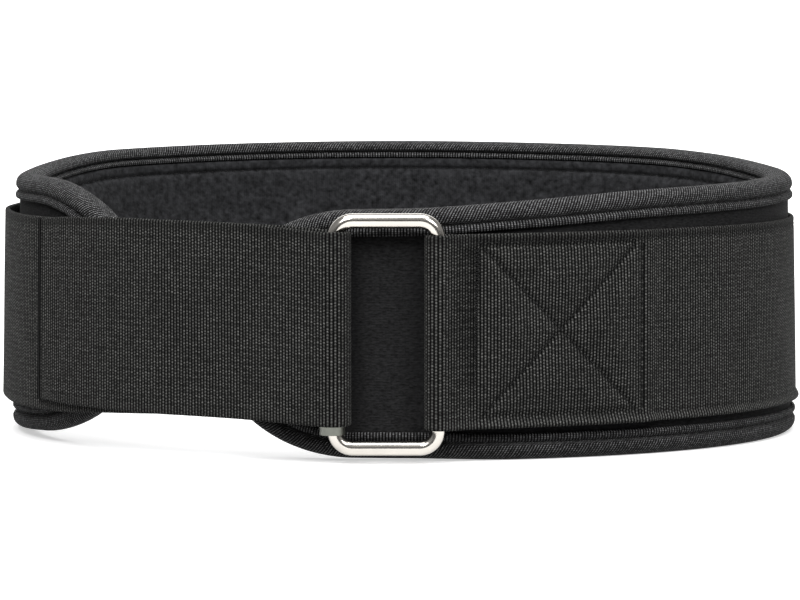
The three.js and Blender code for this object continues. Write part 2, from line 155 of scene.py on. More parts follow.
def length(name, default, text):
    """A length property in metres."""
    return FloatProperty(name=name, description=text, default=default, min=0, unit="LENGTH", precision=5)


def colour(name, default, text):
    """A colour property."""
    return FloatVectorProperty(
        name=name, description=text, default=default, min=0, max=1, size=3, subtype="COLOR"
    )


class BeltSizes(bpy.types.PropertyGroup):
    """Real sizes of the belt"""

    half_width_right: length("Right half width", 163.8 * MM, "Oval's half width on the right")
    half_width_left: length("Left half width", 160.9 * MM, "Oval's half width on the left")
    half_depth: length("Half depth", 120 * MM, "Oval's half depth from front to back")
    side_lean: length("Side lean", 2.4 * MM, "How much wider the sides stand at the bottom")
    back_height: length("Back height", 116.2 * MM, "Band's height in the middle of the back")
    pad_thickness: length("Padding", 8 * MM, "Thickness of the padding")
    front_end_reach: length("Front end", 78 * MM, "From the front middle to the front end's tip")
    end_spacing: length("End spacing", 28 * MM, "Between the tips of the two ends")
    front_end_round: length("Front rounding", 60 * MM, "Length of the front end's rounding")
    left_end_round: length("Left rounding", 66 * MM, "Length of the left end's rounding")
    left_end_lift: length("Left end lift", 5.2 * MM, "How far the left end's edge is off the floor")
    binding_outside: length("Binding outside", 10.6 * MM, "Binding's width on the outer face")
    binding_inside: length("Binding inside", 7.2 * MM, "Binding's width on the inner face")
    binding_rise: length("Binding lip", 1.9 * MM, "Height of the binding's lip over the face")
    binding_wall: length("Binding wall", 1.7 * MM, "Binding's thickness at the very edge")
    lining_thickness: length("Lining", 2.2 * MM, "Thickness of the raised lining")
    lining_seam: length("Lining seam", 12 * MM, "From the band's edge to the lining's seam")
    webbing_width: length("Webbing width", 76.2 * MM, "Width of the webbing")
    webbing_thickness: length("Webbing", 2 * MM, "Thickness of the webbing")
    webbing_back_low: length("Webbing height", 20.5 * MM, "Webbing's lower edge at the back")
    selvedge: length("Selvedge", 3.3 * MM, "Width of the webbing's smooth selvedge")
    edge_curl: length("Edge curl", 1.3 * MM, "How far the sewn webbing's lower edge curls outwards")
    loop_seam: length("Loop seam", 28 * MM, "From the front middle to the loop's seam")
    loop_room: length("Loop room", 0.5 * MM, "Between the loop and the ring's wire")
    loop_lift: length("Loop lift", 2.5 * MM, "How far the loop's seam stands off the padding")
    loop_under_end: length("Loop end", 98 * MM, "From the front middle to the folded layer's end")
    loop_rest: length("Loop rest", 34 * MM, "Length over which the loop comes down")
    cross_inset: length("Cross inset", 2.8 * MM, "From the box seam's sides to the ends of its cross")
    box_seam_end: length("Box seam", 97 * MM, "From the front middle to the box seam's far side")
    box_seam_inset: length("Box inset", 5 * MM, "From the webbing's edges to the box seam's corners")
    free_length: length("Free strap", 240 * MM, "From the ring to where the strap leaves the band")
    strap_stand_off: length("Strap stand-off", 4.7 * MM, "How far the free strap stands off")
    tail_length: length("Tail", 134.5 * MM, "From the ring's left bar to the tail's hem")
    # Hem shade is the width of a painted shadow at the tail's cut end
    hem_shade: length("Hem shade", 3.6 * MM, "Width of the dark edge of the tail's cut end")
    fold_rest: FloatProperty(
        name="Fold rest", description="Share of the tail that comes down from the fold", default=0.5,
        min=0.1, max=0.9, subtype="FACTOR",
    )
    wire_radius: length("Wire radius", 2.9 * MM, "Radius of the ring's wire")
    right_leg: length("Right bar", 14.6 * MM, "From the front middle to the ring's right bar")
    ring_corner: length("Ring corner", 7.2 * MM, "Radius of the wire's middle line at a corner")
    roller_bore: length("Roller bore", 4.3 * MM, "Inner radius of the roller")
    roller_wall: length("Roller wall", 0.8 * MM, "Thickness of the roller")
    clearance: length("Clearance", 0.3 * MM, "Gap between pieces that touch")
    rib_pitch: length("Rib pitch", 1.33 * MM, "Pitch of the webbing's ribs")
    knot_pitch: length("Knot pitch", 1.25 * MM, "Pitch of the knots along a rib")
    binding_pitch: length("Binding rib pitch", 1.22 * MM, "Pitch of the binding's ribs")
    stitch_pitch: length("Stitch pitch", 3.6 * MM, "Length of a stitch with its gap")


class BeltColours(bpy.types.PropertyGroup):
    """Colours of the belt's cloths, thread and metal"""

    # Webbing and binding light are painted highlights on the raised threads and ribs; webbing and
    # binding dark are painted shade between them.
    webbing_light: colour("Webbing light", (0.188, 0.188, 0.18), "Raised threads of the webbing")
    webbing_dark: colour("Webbing dark", (0.0012, 0.0012, 0.0012), "Between the webbing's threads")
    binding_light: colour("Binding light", (0.23, 0.23, 0.233), "Raised ribs of the binding")
    binding_dark: colour("Binding dark", (0.0018, 0.0018, 0.002), "Between the binding's ribs")
    face: colour("Face fabric", (0.0158, 0.0158, 0.0163), "Smooth outer face fabric")
    lining: colour("Lining", (0.0158, 0.016, 0.0172), "Brushed lining")
    thread: colour("Thread", (0.012, 0.012, 0.012), "Sewing thread")
    steel: colour("Ring", (0.6, 0.57, 0.525), "Polished nickel ring")
    roller: colour("Roller", (0.17, 0.176, 0.155), "Satin roller")
    floor: colour("Floor", (0.92, 0.92, 0.92), "Studio floor")


def follow(table, key, column, at):
    """One column of a table at places on its key: cubics between the rows that never swing past
    them, each row's slope being the harmonic mean of the slopes beside it."""
    x = np.array([row[key] for row in table])
    y = np.array([row[column] for row in table])
    rise = np.diff(y) / np.diff(x)
    before = np.append(rise[:1], rise)
    after = np.append(rise, rise[-1:])
    same = before * after > 0
    slope = np.where(same, 2 * before * after / np.where(same, before + after, 1), 0)
    i = np.clip(np.searchsorted(x, at, side="right") - 1, 0, len(x) - 2)
    span = x[i + 1] - x[i]
    t = np.clip((at - x[i]) / span, 0, 1)
    rest = 1 - t
    ends = y[i] * (1 + 2 * t) * rest**2 + y[i + 1] * t**2 * (3 - 2 * t)
    return ends + span * (slope[i] * t * rest**2 - slope[i + 1] * t**2 * rest)


def smoothstep(x, low, high):
    """0 below low, 1 above high, and 3t^2 - 2t^3 between them."""
    t = np.clip((x - low) / (high - low), 0, 1)
    return t * t * (3 - 2 * t)


def spline(points, count):
    """Catmull-Rom curve through rows of points, sampled evenly in each stretch."""
    points = np.asarray(points, float)
    ends = np.vstack([2 * points[0] - points[1], points, 2 * points[-1] - points[-2]])
    at = np.linspace(0, len(points) - 1, count)
    i = np.minimum(at.astype(int), len(points) - 2)
    t = (at - i)[:, None]
    a, b, c, d = (ends[i + k] for k in range(4))
    square, cube = 2 * a - 5 * b + 4 * c - d, 3 * b - a - 3 * c + d
    return 0.5 * (2 * b + (c - a) * t + square * t**2 + cube * t**3)


def ripple(x, wavelengths, seed):
    """Slow, uneven wave from -1 to 1: sines of a few wavelengths with fixed phases, averaged."""
    phases = np.random.default_rng(seed).uniform(0, 2 * np.pi, len(wavelengths))
    waves = [np.sin(2 * np.pi * x / w + p) for w, p in zip(wavelengths, phases)]
    return sum(waves) / len(waves)


class Band:
    """The padded band: its oval by arc length, its flat outline, and where both lie in space."""

    def __init__(self, sizes):
        self.sizes = sizes
        self.turn = np.linspace(0, 2 * np.pi, OVAL_POINTS)
        x, y = self.oval(self.turn).T
        self.run = np.append(0, np.cumsum(np.hypot(np.diff(x), np.diff(y))))
        self.length = self.run[-1]
        self.front_tip = -sizes.front_end_reach
        self.left_tip = self.length - sizes.front_end_reach - sizes.end_spacing
        half_webbing = sizes.webbing_thickness / 2
        self.layer = sizes.webbing_thickness + sizes.clearance
        self.on_face = sizes.clearance + half_webbing
        self.roller_radius = sizes.roller_bore + sizes.roller_wall
        self.fold_radius = self.roller_radius + self.on_face
        self.loop_radius = sizes.wire_radius + sizes.loop_room + half_webbing
        leg_spacing = RING_BOX[1, 0] - RING_BOX[0, 0] - 2 * sizes.wire_radius
        self.left_leg = sizes.right_leg - leg_spacing
        self.centre = np.zeros(2)
        over_lip = self.on_face + sizes.binding_rise
        self.ring_y = self.flat(self.left_leg, over_lip + self.fold_radius)[1]
        ring_middle = np.array([(sizes.right_leg + self.left_leg) / 2, self.ring_y])
        self.centre = RING_BOX[:, :2].mean(axis=0) - ring_middle

    def oval(self, turn):
        """Two half ellipses, one for each side, by their angle from the front middle."""
        half = np.where(np.sin(turn) > 0, self.sizes.half_width_right, self.sizes.half_width_left)
        return np.stack([half * np.sin(turn), -self.sizes.half_depth * np.cos(turn)], axis=-1)

    def angle(self, s):
        """Angle from the front middle, looked up by arc length."""
        return np.interp(np.mod(s, self.length), self.run, self.turn)

    def outward(self, s):
        """Unit normal of the ellipse, level with the floor."""
        turn = self.angle(s)
        half = np.where(np.sin(turn) > 0, self.sizes.half_width_right, self.sizes.half_width_left)
        normal = np.stack([self.sizes.half_depth * np.sin(turn), -half * np.cos(turn)], axis=-1)
        return normal / np.linalg.norm(normal, axis=-1, keepdims=True)

    def lean(self, s, z):
        """The sides stand further out at the bottom, by the square of the sine of the angle."""
        share = np.sin(self.angle(s)) ** 2
        return self.sizes.side_lean * share * (0.5 - z / self.sizes.back_height)

    def flat(self, s, out):
        """Plan place: the oval's point moved outwards."""
        return self.oval(self.angle(s)) + self.outward(s) * np.asarray(out)[..., None] + self.centre

    def place(self, s, out, z):
        """Point in space of (s, out, z)."""
        flat = self.flat(s, out + self.lean(s, z))
        return np.concatenate([flat, np.broadcast_to(z, flat.shape[:-1])[..., None]], axis=-1)

    def along(self, s):
        """Share of the way from the front end's tip to the left end's tip."""
        return (s - self.front_tip) / (self.left_tip - self.front_tip)

    def top(self, s):
        """Height of the band's upper edge, from its table."""
        return self.sizes.back_height * follow(HEIGHTS, "along", "top", self.along(s))

    def bottom(self, s):
        """Height of the band's lower edge, from its table."""
        return self.sizes.left_end_lift * follow(HEIGHTS, "along", "lift", self.along(s))

    def webbing_low(self, s):
        """Height of the sewn webbing's lower edge, from its table."""
        return self.sizes.webbing_back_low * follow(HEIGHTS, "along", "webbing", self.along(s))

    def stations(self, step, at_ends):
        """Places along the band and how far it is open there: half ellipses at both ends."""
        bend = np.linspace(0, np.pi / 2, at_ends, endpoint=False)
        near = self.front_tip + self.sizes.front_end_round * (1 - np.cos(bend))
        far = self.left_tip - self.sizes.left_end_round * (1 - np.cos(bend))
        start = self.front_tip + self.sizes.front_end_round
        stop = self.left_tip - self.sizes.left_end_round
        middle = np.linspace(start, stop, round((stop - start) / step) + 1)
        s = np.concatenate([near, middle, far[::-1]])
        return s, np.concatenate([np.sin(bend), np.ones(len(middle)), np.sin(bend)[::-1]])

    def outline(self, step, at_ends):
        """The closed flat outline (s, z) with its inward normals: lower edge out, upper edge back."""
        s, opened = self.stations(step, at_ends)
        middle = (self.top(s) + self.bottom(s)) / 2
        half = (self.top(s) - self.bottom(s)) / 2 * opened
        lower = np.stack([s, middle - half], axis=-1)
        upper = np.stack([s, middle + half], axis=-1)[1:-1][::-1]
        points = np.vstack([lower, upper])
        along = np.roll(points, -1, axis=0) - np.roll(points, 1, axis=0)
        along /= np.linalg.norm(along, axis=1, keepdims=True)
        return points, np.stack([-along[:, 1], along[:, 0]], axis=-1)


def grid_faces(index):
    """Four-sided faces between neighbours of a grid of vertex numbers, or of a row of grids."""
    corners = [index[..., :-1, :-1], index[..., 1:, :-1], index[..., 1:, 1:], index[..., :-1, 1:]]
    return np.stack(corners, axis=-1).reshape(-1, 4)


def surface(name, points, uv, material, seam=None):
    """A closed mesh from a grid of points (rows, columns) with a weave coordinate for each point.
    Points of the grid that coincide are joined, so a grid that meets itself is closed."""
    rows, columns = points.shape[:2]
    faces = grid_faces(np.arange(rows * columns).reshape(rows, columns))
    return mesh_object(name, points.reshape(-1, 3), faces, uv.reshape(-1, 2), material, seam)


def mesh_object(name, points, faces, uv, material, seam=None):
    """A mesh object from vertices and four-sided faces, doubles joined and faces turned outwards."""
    mesh = bpy.data.meshes.new(name)
    mesh.vertices.add(len(points))
    mesh.vertices.foreach_set("co", points.astype(np.float32).ravel())
    mesh.loops.add(faces.size)
    mesh.loops.foreach_set("vertex_index", faces.astype(np.int32).ravel())
    mesh.polygons.add(len(faces))
    mesh.polygons.foreach_set("loop_start", np.arange(0, faces.size, 4, dtype=np.int32))
    mesh.update(calc_edges=True)
    weave = mesh.uv_layers.new(name="Weave")
    weave.data.foreach_set("uv", uv[faces.ravel()].astype(np.float32).ravel())
    # The seam value is painted shade, kept as a point attribute
    if seam is not None:
        seams = mesh.attributes.new("Seam", "FLOAT", "POINT")
        seams.data.foreach_set("value", seam.astype(np.float32).ravel())
    build = bmesh.new()
    build.from_mesh(mesh)
    bmesh.ops.remove_doubles(build, verts=build.verts, dist=1e-6)
    bmesh.ops.dissolve_degenerate(build, edges=build.edges, dist=1e-7)
    bmesh.ops.recalc_face_normals(build, faces=build.faces)
    build.to_mesh(mesh)
    build.free()
    mesh.polygons.foreach_set("use_smooth", np.ones(len(mesh.polygons), bool))
    mesh.materials.append(material)
    made = bpy.data.objects.new(name, mesh)
    bpy.context.scene.collection.objects.link(made)
    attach(made, "root")
    return made


def band_grid(band, rows, across, back_across, step, at_ends):
    """Grid of a closed band solid: at each station the rows (inset, out) up the lower edge, points
    across the last row's face, the rows down the upper edge, and points back across the first
    row's face. Returns flat places, offsets and how far across each point lies, 0 to 1."""
    outline, inward = band.outline(step, at_ends)
    count = (len(outline) + 2) // 2
    lower = np.arange(count)
    upper = -lower % len(outline)
    upper[-1] = lower[-1]
    inset = np.array([row[0] for row in rows])
    out = np.array([row[1] for row in rows])
    low = outline[lower, None] + inward[lower, None] * inset[None, :, None]
    high = outline[upper, None] + inward[upper, None] * inset[None, :, None]
    share = np.linspace(0, 1, across + 2)[1:-1]
    face = low[:, -1:] + (high[:, -1:] - low[:, -1:]) * share[None, :, None]
    share_back = np.linspace(1, 0, back_across + 2)[1:]
    back = low[:, :1] + (high[:, :1] - low[:, :1]) * share_back[None, :, None]
    flat = np.concatenate([low, face, high[:, ::-1], back], axis=1)
    outs = np.concatenate([out, np.full(across, out[-1]), out[::-1], np.full(back_across + 1, out[0])])
    shares = np.concatenate([np.zeros(len(rows)), share, np.ones(len(rows)), share_back])
    return flat, np.broadcast_to(outs, flat.shape[:2]).copy(), np.broadcast_to(shares, flat.shape[:2])


def weave_material(name, roughness, sheen):
    """A cloth material with its tree, shader, and the weave coordinate's two parts in metres."""
    material = bpy.data.materials.new(name)
    material.use_nodes = True
    tree = material.node_tree
    shader = tree.nodes["Principled BSDF"]
    shader.inputs["Roughness"].default_value = roughness
    shader.inputs["Sheen Weight"].default_value = sheen
    shader.inputs["Sheen Roughness"].default_value = 0.5
    shader.inputs["Specular IOR Level"].default_value = 0.04
    uv = tree.nodes.new("ShaderNodeUVMap")
    uv.uv_map = "Weave"
    parts = tree.nodes.new("ShaderNodeSeparateXYZ")
    tree.links.new(uv.outputs["UV"], parts.inputs[0])
    return material, tree, shader, parts.outputs[0], parts.outputs[1]


def maths(tree, operation, *values, clamp=False):
    """A Math node of values that are sockets or numbers."""
    node = tree.nodes.new("ShaderNodeMath")
    node.operation = operation
    node.use_clamp = clamp
    for socket, value in zip(node.inputs, values):
        if isinstance(value, bpy.types.NodeSocket):
            tree.links.new(value, socket)
        else:
            socket.default_value = value
    return node.outputs[0]


def threads(tree, coordinate, pitch, sharpness):
    """Round threads side by side: the size of the sine of half turns a pitch, to a power."""
    turned = maths(tree, "MULTIPLY", coordinate, np.pi / pitch)
    wave = maths(tree, "ABSOLUTE", maths(tree, "SINE", turned))
    return maths(tree, "POWER", wave, sharpness)


def noise(tree, scale, detail=3.0, stretch=None):
    """Noise on Object coordinates, at a scale per metre, stretched along the axes if asked."""
    place = tree.nodes.new("ShaderNodeTexCoord").outputs["Object"]
    if stretch:
        mapping = tree.nodes.new("ShaderNodeMapping")
        mapping.inputs["Scale"].default_value = stretch
        tree.links.new(place, mapping.inputs[0])
        place = mapping.outputs[0]
    node = tree.nodes.new("ShaderNodeTexNoise")
    node.inputs["Scale"].default_value = scale
    node.inputs["Detail"].default_value = detail
    tree.links.new(place, node.inputs["Vector"])
    return node.outputs["Fac"]


def mixed(tree, factor, dark, light):
    """A colour between two, by a socket."""
    node = tree.nodes.new("ShaderNodeMix")
    node.data_type = "RGBA"
    tree.links.new(factor, node.inputs[0])
    node.inputs[6].default_value = (*dark, 1)
    node.inputs[7].default_value = (*light, 1)
    return node.outputs[2]


def set_relief(tree, shader, height, distance):
    """Bump of a height socket, in metres."""
    bump = tree.nodes.new("ShaderNodeBump")
    bump.inputs["Strength"].default_value = 1.0
    bump.inputs["Distance"].default_value = distance
    tree.links.new(height, bump.inputs["Height"])
    tree.links.new(bump.outputs[0], shader.inputs["Normal"])


def set_roughness(tree, shader, factor, low, high):
    """Roughness between two values, by a socket."""
    tree.links.new(maths(tree, "MULTIPLY_ADD", factor, high - low, low), shader.inputs["Roughness"])


def cells(tree, across, across_pitch, along, along_pitch):
    """A different random value for each cell of a weave."""
    column = maths(tree, "FLOOR", maths(tree, "DIVIDE", across, across_pitch))
    row = maths(tree, "FLOOR", maths(tree, "DIVIDE", along, along_pitch))
    joined = tree.nodes.new("ShaderNodeCombineXYZ")
    tree.links.new(column, joined.inputs[0])
    tree.links.new(row, joined.inputs[1])
    value = tree.nodes.new("ShaderNodeTexWhiteNoise")
    value.noise_dimensions = "2D"
    tree.links.new(joined.outputs[0], value.inputs["Vector"])
    return column, value.outputs["Value"]


def webbing_material(sizes, colours):
    """Ribbed webbing: ribs across the strap, each a row of knots with painted highlights of uneven
    strength, every other one stronger, and painted shade between the threads; a plainer selvedge
    with painted shade along the upper edge; painted shade on the sewn lines and a painted shadow
    at the tail's hem where the seam value says so."""
    material, tree, shader, run, height = weave_material("webbing_weave", 0.62, 0.03)
    ribs = threads(tree, run, sizes.rib_pitch, 1.5)
    column, chance = cells(tree, run, sizes.rib_pitch, height, sizes.knot_pitch)
    wander = maths(tree, "SINE", maths(tree, "MULTIPLY", column, 2.2))
    drift = maths(tree, "MULTIPLY", wander, 0.16 * MM)
    stagger = maths(tree, "MULTIPLY", maths(tree, "MODULO", column, 2.0), 0.5 * sizes.knot_pitch)
    shift = maths(tree, "ADD", drift, stagger)
    knots = threads(tree, maths(tree, "ADD", height, shift), sizes.knot_pitch, 1.4)
    paired = maths(tree, "SINE", maths(tree, "MULTIPLY", height, np.pi / sizes.knot_pitch))
    strength = maths(tree, "MULTIPLY_ADD", paired, 0.2, maths(tree, "MULTIPLY_ADD", chance, 0.6, 0.46))
    knot = maths(tree, "MULTIPLY_ADD", maths(tree, "MULTIPLY", knots, strength), 0.6, 0.48)
    body = maths(tree, "MULTIPLY", ribs, knot)
    # Painted shade: the selvedge is darker along the webbing's upper half
    upper = maths(tree, "GREATER_THAN", height, sizes.webbing_width / 2)
    plain = maths(tree, "MULTIPLY", ribs, maths(tree, "MULTIPLY_ADD", knots, 0.28, 0.62))
    plain = maths(tree, "MULTIPLY", plain, maths(tree, "MULTIPLY_ADD", upper, -0.22, 1.0))
    to_edge = maths(tree, "MINIMUM", height, maths(tree, "SUBTRACT", sizes.webbing_width, height))
    inside = maths(tree, "GREATER_THAN", to_edge, sizes.selvedge)
    weave = maths(
        tree, "ADD", maths(tree, "MULTIPLY", body, inside),
        maths(tree, "MULTIPLY", plain, maths(tree, "SUBTRACT", 1.0, inside)),
    )
    # The seam value paints shade on the sunk sewn lines and a shadow at the tail's hem; this is the
    # share left unshaded
    seam = tree.nodes.new("ShaderNodeAttribute")
    seam.attribute_name = "Seam"
    outside_painted_shade = maths(tree, "MULTIPLY_ADD", seam.outputs["Fac"], -1.0, 1.0, clamp=True)
    clouds = maths(tree, "MULTIPLY_ADD", noise(tree, 60, 3), 0.5, 0.75)
    fluff = maths(tree, "MULTIPLY_ADD", noise(tree, 1400, 2), 2.4, -0.2)
    # Painted highlights on the threads and painted shade between them, with random mottle, and no
    # highlight where the seam value paints shade
    weave_highlight_shade_and_mottle = maths(tree, "MULTIPLY", maths(tree, "POWER", weave, 2.3), clouds)
    weave_highlight_shade_and_mottle = maths(tree, "MULTIPLY", weave_highlight_shade_and_mottle, fluff)
    weave_highlight_shade_and_mottle = maths(tree, "MULTIPLY", weave_highlight_shade_and_mottle, outside_painted_shade, clamp=True)
    tree.links.new(
        mixed(tree, weave_highlight_shade_and_mottle, colours.webbing_dark, colours.webbing_light), shader.inputs["Base Color"]
    )
    set_roughness(tree, shader, weave_highlight_shade_and_mottle, 0.85, 0.5)
    set_relief(tree, shader, weave, 0.4 * MM)
    return material


def binding_material(sizes, colours):
    """Grosgrain: ribs across the tape with painted highlights of uneven strength and painted shade
    between them, with fine threads across each rib.
    """
    material, tree, shader, run, across = weave_material("binding_grosgrain", 0.65, 0.03)
    ribs = threads(tree, run, sizes.binding_pitch, 1.2)
    _, chance = cells(tree, run, sizes.binding_pitch, across, 0.8 * MM)
    cross = threads(tree, across, 0.8 * MM, 1.0)
    strength = maths(tree, "MULTIPLY_ADD", chance, 0.9, 0.4)
    weave = maths(tree, "MULTIPLY", ribs, maths(tree, "MULTIPLY_ADD", cross, 0.45, 0.55))
    clouds = maths(tree, "MULTIPLY_ADD", noise(tree, 80, 3), 0.5, 0.75)
    # Painted highlights on the ribs and painted shade between them, with random mottle
    weave_highlight_shade_and_mottle = maths(tree, "MULTIPLY", maths(tree, "POWER", weave, 3.0), strength)
    weave_highlight_shade_and_mottle = maths(tree, "MULTIPLY", weave_highlight_shade_and_mottle, clouds, clamp=True)
    tree.links.new(
        mixed(tree, weave_highlight_shade_and_mottle, colours.binding_dark, colours.binding_light), shader.inputs["Base Color"]
    )
    set_roughness(tree, shader, weave_highlight_shade_and_mottle, 0.85, 0.55)
    set_relief(tree, shader, weave, 0.35 * MM)
    return material


def face_material(colours):
    """Smooth knit: very fine level rows with a soft mottle."""
    material, tree, shader, run, height = weave_material("face_knit", 0.8, 0.04)
    rows = threads(tree, height, 0.62 * MM, 1.0)
    loops = threads(tree, run, 0.6 * MM, 1.0)
    knit = maths(tree, "MULTIPLY_ADD", rows, 0.75, maths(tree, "MULTIPLY", loops, 0.25))
    streaks = noise(tree, 1500, 3, (0.45, 0.45, 1.2))
    faint = maths(tree, "MULTIPLY_ADD", knit, 0.25, -0.5)
    tone = maths(tree, "MULTIPLY_ADD", streaks, 1.7, faint, clamp=True)
    light = tuple(2.2 * c for c in colours.face)
    dark = tuple(0.2 * c for c in colours.face)
    tree.links.new(mixed(tree, tone, dark, light), shader.inputs["Base Color"])
    set_roughness(tree, shader, streaks, 0.7, 0.9)
    set_relief(tree, shader, knit, 0.08 * MM)
    return material


def lining_material(colours):
    """Brushed cloth: clumps of nap in two sizes, a faint warp, and a soft sheen."""
    material, tree, shader, run, height = weave_material("lining_nap", 0.9, 0.1)
    clumps = maths(tree, "MULTIPLY_ADD", noise(tree, 420, 7), 1.8, -0.42, clamp=True)
    clouds = noise(tree, 120, 4, (1, 1, 1.6))
    warp = threads(tree, run, 0.9 * MM, 1.0)
    nap = maths(tree, "MULTIPLY_ADD", clumps, 0.9, maths(tree, "MULTIPLY", warp, 0.1))
    tone = maths(tree, "MULTIPLY", maths(tree, "MULTIPLY_ADD", clouds, 0.9, 0.5), nap, clamp=True)
    light = tuple(3.0 * c for c in colours.lining)
    dark = tuple(0.1 * c for c in colours.lining)
    tree.links.new(mixed(tree, tone, dark, light), shader.inputs["Base Color"])
    set_roughness(tree, shader, clouds, 0.85, 1.0)
    set_relief(tree, shader, nap, 0.45 * MM)
    return material


def thread_material(colours):
    """Twisted sewing thread: slanting plies along each stitch."""
    material, tree, shader, run, around = weave_material("sewing_thread", 0.55, 0.2)
    slanted = maths(tree, "ADD", run, maths(tree, "MULTIPLY", around, 0.6))
    plies = threads(tree, slanted, 0.4 * MM, 1.0)
    dark = tuple(0.35 * c for c in colours.thread)
    tree.links.new(mixed(tree, plies, dark, colours.thread), shader.inputs["Base Color"])
    set_roughness(tree, shader, plies, 0.7, 0.45)
    set_relief(tree, shader, plies, 0.05 * MM)
    return material


def metal_material(name, light, low, high, grain, depth):
    """Metal with faint drawn marks along it in its roughness and relief, and soft smudges."""
    material = bpy.data.materials.new(name)
    material.use_nodes = True
    tree = material.node_tree
    shader = tree.nodes["Principled BSDF"]
    shader.inputs["Metallic"].default_value = 1.0
    marks = noise(tree, grain, 4, (1, 1, 0.12))
    smudge = noise(tree, 90, 2)
    dark = tuple(0.82 * c for c in light)
    tree.links.new(mixed(tree, smudge, dark, light), shader.inputs["Base Color"])
    set_roughness(tree, shader, marks, low, high)
    set_relief(tree, shader, marks, depth)
    return material


def sizes_and_colours(context):
    """The belt's two groups of properties."""
    return context.scene.belt_sizes, context.scene.belt_colours


class BELT_OT_padded_body(bpy.types.Operator):
    """Padded band with its smooth face fabric, in place of the plain solid"""

    bl_idname = "belt.padded_body"
    bl_label = "Padded body"

    def execute(self, context):
        sizes, colours = sizes_and_colours(context)
        band = Band(sizes)
        start = sizes.binding_wall + sizes.clearance
        depth = sizes.pad_thickness
        bevel = start + PAD_BEVEL
        corners = [(bevel, -depth), (start, -0.75 * depth), (start, -0.25 * depth), (bevel, 0)]
        edge = spline(corners, 9)
        flat, out, share = band_grid(band, edge, 60, 12, 3 * MM, 24)
        s, z = flat[..., 0], flat[..., 1]
        outer = out > -0.1 * MM
        swell = 0.12 * MM * ripple(s + 0.4 * z, (31 * MM, 47 * MM, 83 * MM), 3)
        out = out + np.where(outer, np.sin(np.pi * share) ** 0.5 * swell, 0)
        points = band.place(s, out, z)
        body = surface("padded_band", points, flat, face_material(colours))
        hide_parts("padded_body")
        return {"FINISHED"}


class BELT_OT_lining(bpy.types.Operator):
    """Brushed lining: a puckered seam round a raised panel"""

    bl_idname = "belt.lining"
    bl_label = "Lining"

    def execute(self, context):
        sizes, colours = sizes_and_colours(context)
        band = Band(sizes)
        inner = -sizes.pad_thickness - sizes.clearance
        seam = sizes.lining_seam
        rows = [
            (seam * (1 + row["inset"]), inner - row["rise"] * sizes.lining_thickness)
            for row in LINING_SECTION
        ]
        edge = np.vstack([[(rows[0][0], inner)], spline(rows, 26)])
        flat, out, share = band_grid(band, edge, 46, 6, 2.2 * MM, 30)
        s, z = flat[..., 0], flat[..., 1]
        raised = np.clip((inner - out) / sizes.lining_thickness, 0, 1)
        crown = 0.35 * MM * np.sin(np.pi * share)
        creases = 0.22 * MM * ripple(s + 0.5 * z, (17 * MM, 29 * MM, 53 * MM), 5)
        near_seam = (1 - share * (1 - share) * 4) ** 6
        pucker = 0.16 * MM * np.sin(np.pi * s / sizes.stitch_pitch) * near_seam
        out = out - raised * (crown + creases + pucker)
        out = np.minimum(out, inner)
        points = band.place(s, out, z)
        lining = surface("brushed_lining", points, flat, lining_material(colours))
        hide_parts("lining_panel")
        return {"FINISHED"}


def binding_profile(sizes):
    """Section of the binding (inset, out) as one closed loop, and the distance along it."""
    depth = sizes.pad_thickness
    outside = [
        (row["inset"] * sizes.binding_outside, row["rise"] * sizes.binding_rise) for row in BINDING_FACE
    ]
    inside = [
        (row["inset"] * sizes.binding_inside, -depth - row["rise"] * sizes.binding_rise)
        for row in BINDING_FACE
    ]
    edge = [(row["inset"] * sizes.binding_wall, -row["depth"] * depth) for row in BINDING_EDGE]
    shell = spline(outside + edge + inside[::-1], SHELL_POINTS)
    start = sizes.binding_wall
    core = [
        (sizes.binding_inside, -depth - sizes.clearance),
        (start + PAD_BEVEL, -depth - sizes.clearance),
        (start, -0.75 * depth),
        (start, -0.25 * depth),
        (start + PAD_BEVEL, sizes.clearance),
        (sizes.binding_outside, sizes.clearance),
    ]
    profile = np.vstack([shell, core, shell[:1]])
    steps = np.hypot(*np.diff(profile, axis=0).T)
    return profile, np.append(0, np.cumsum(steps))


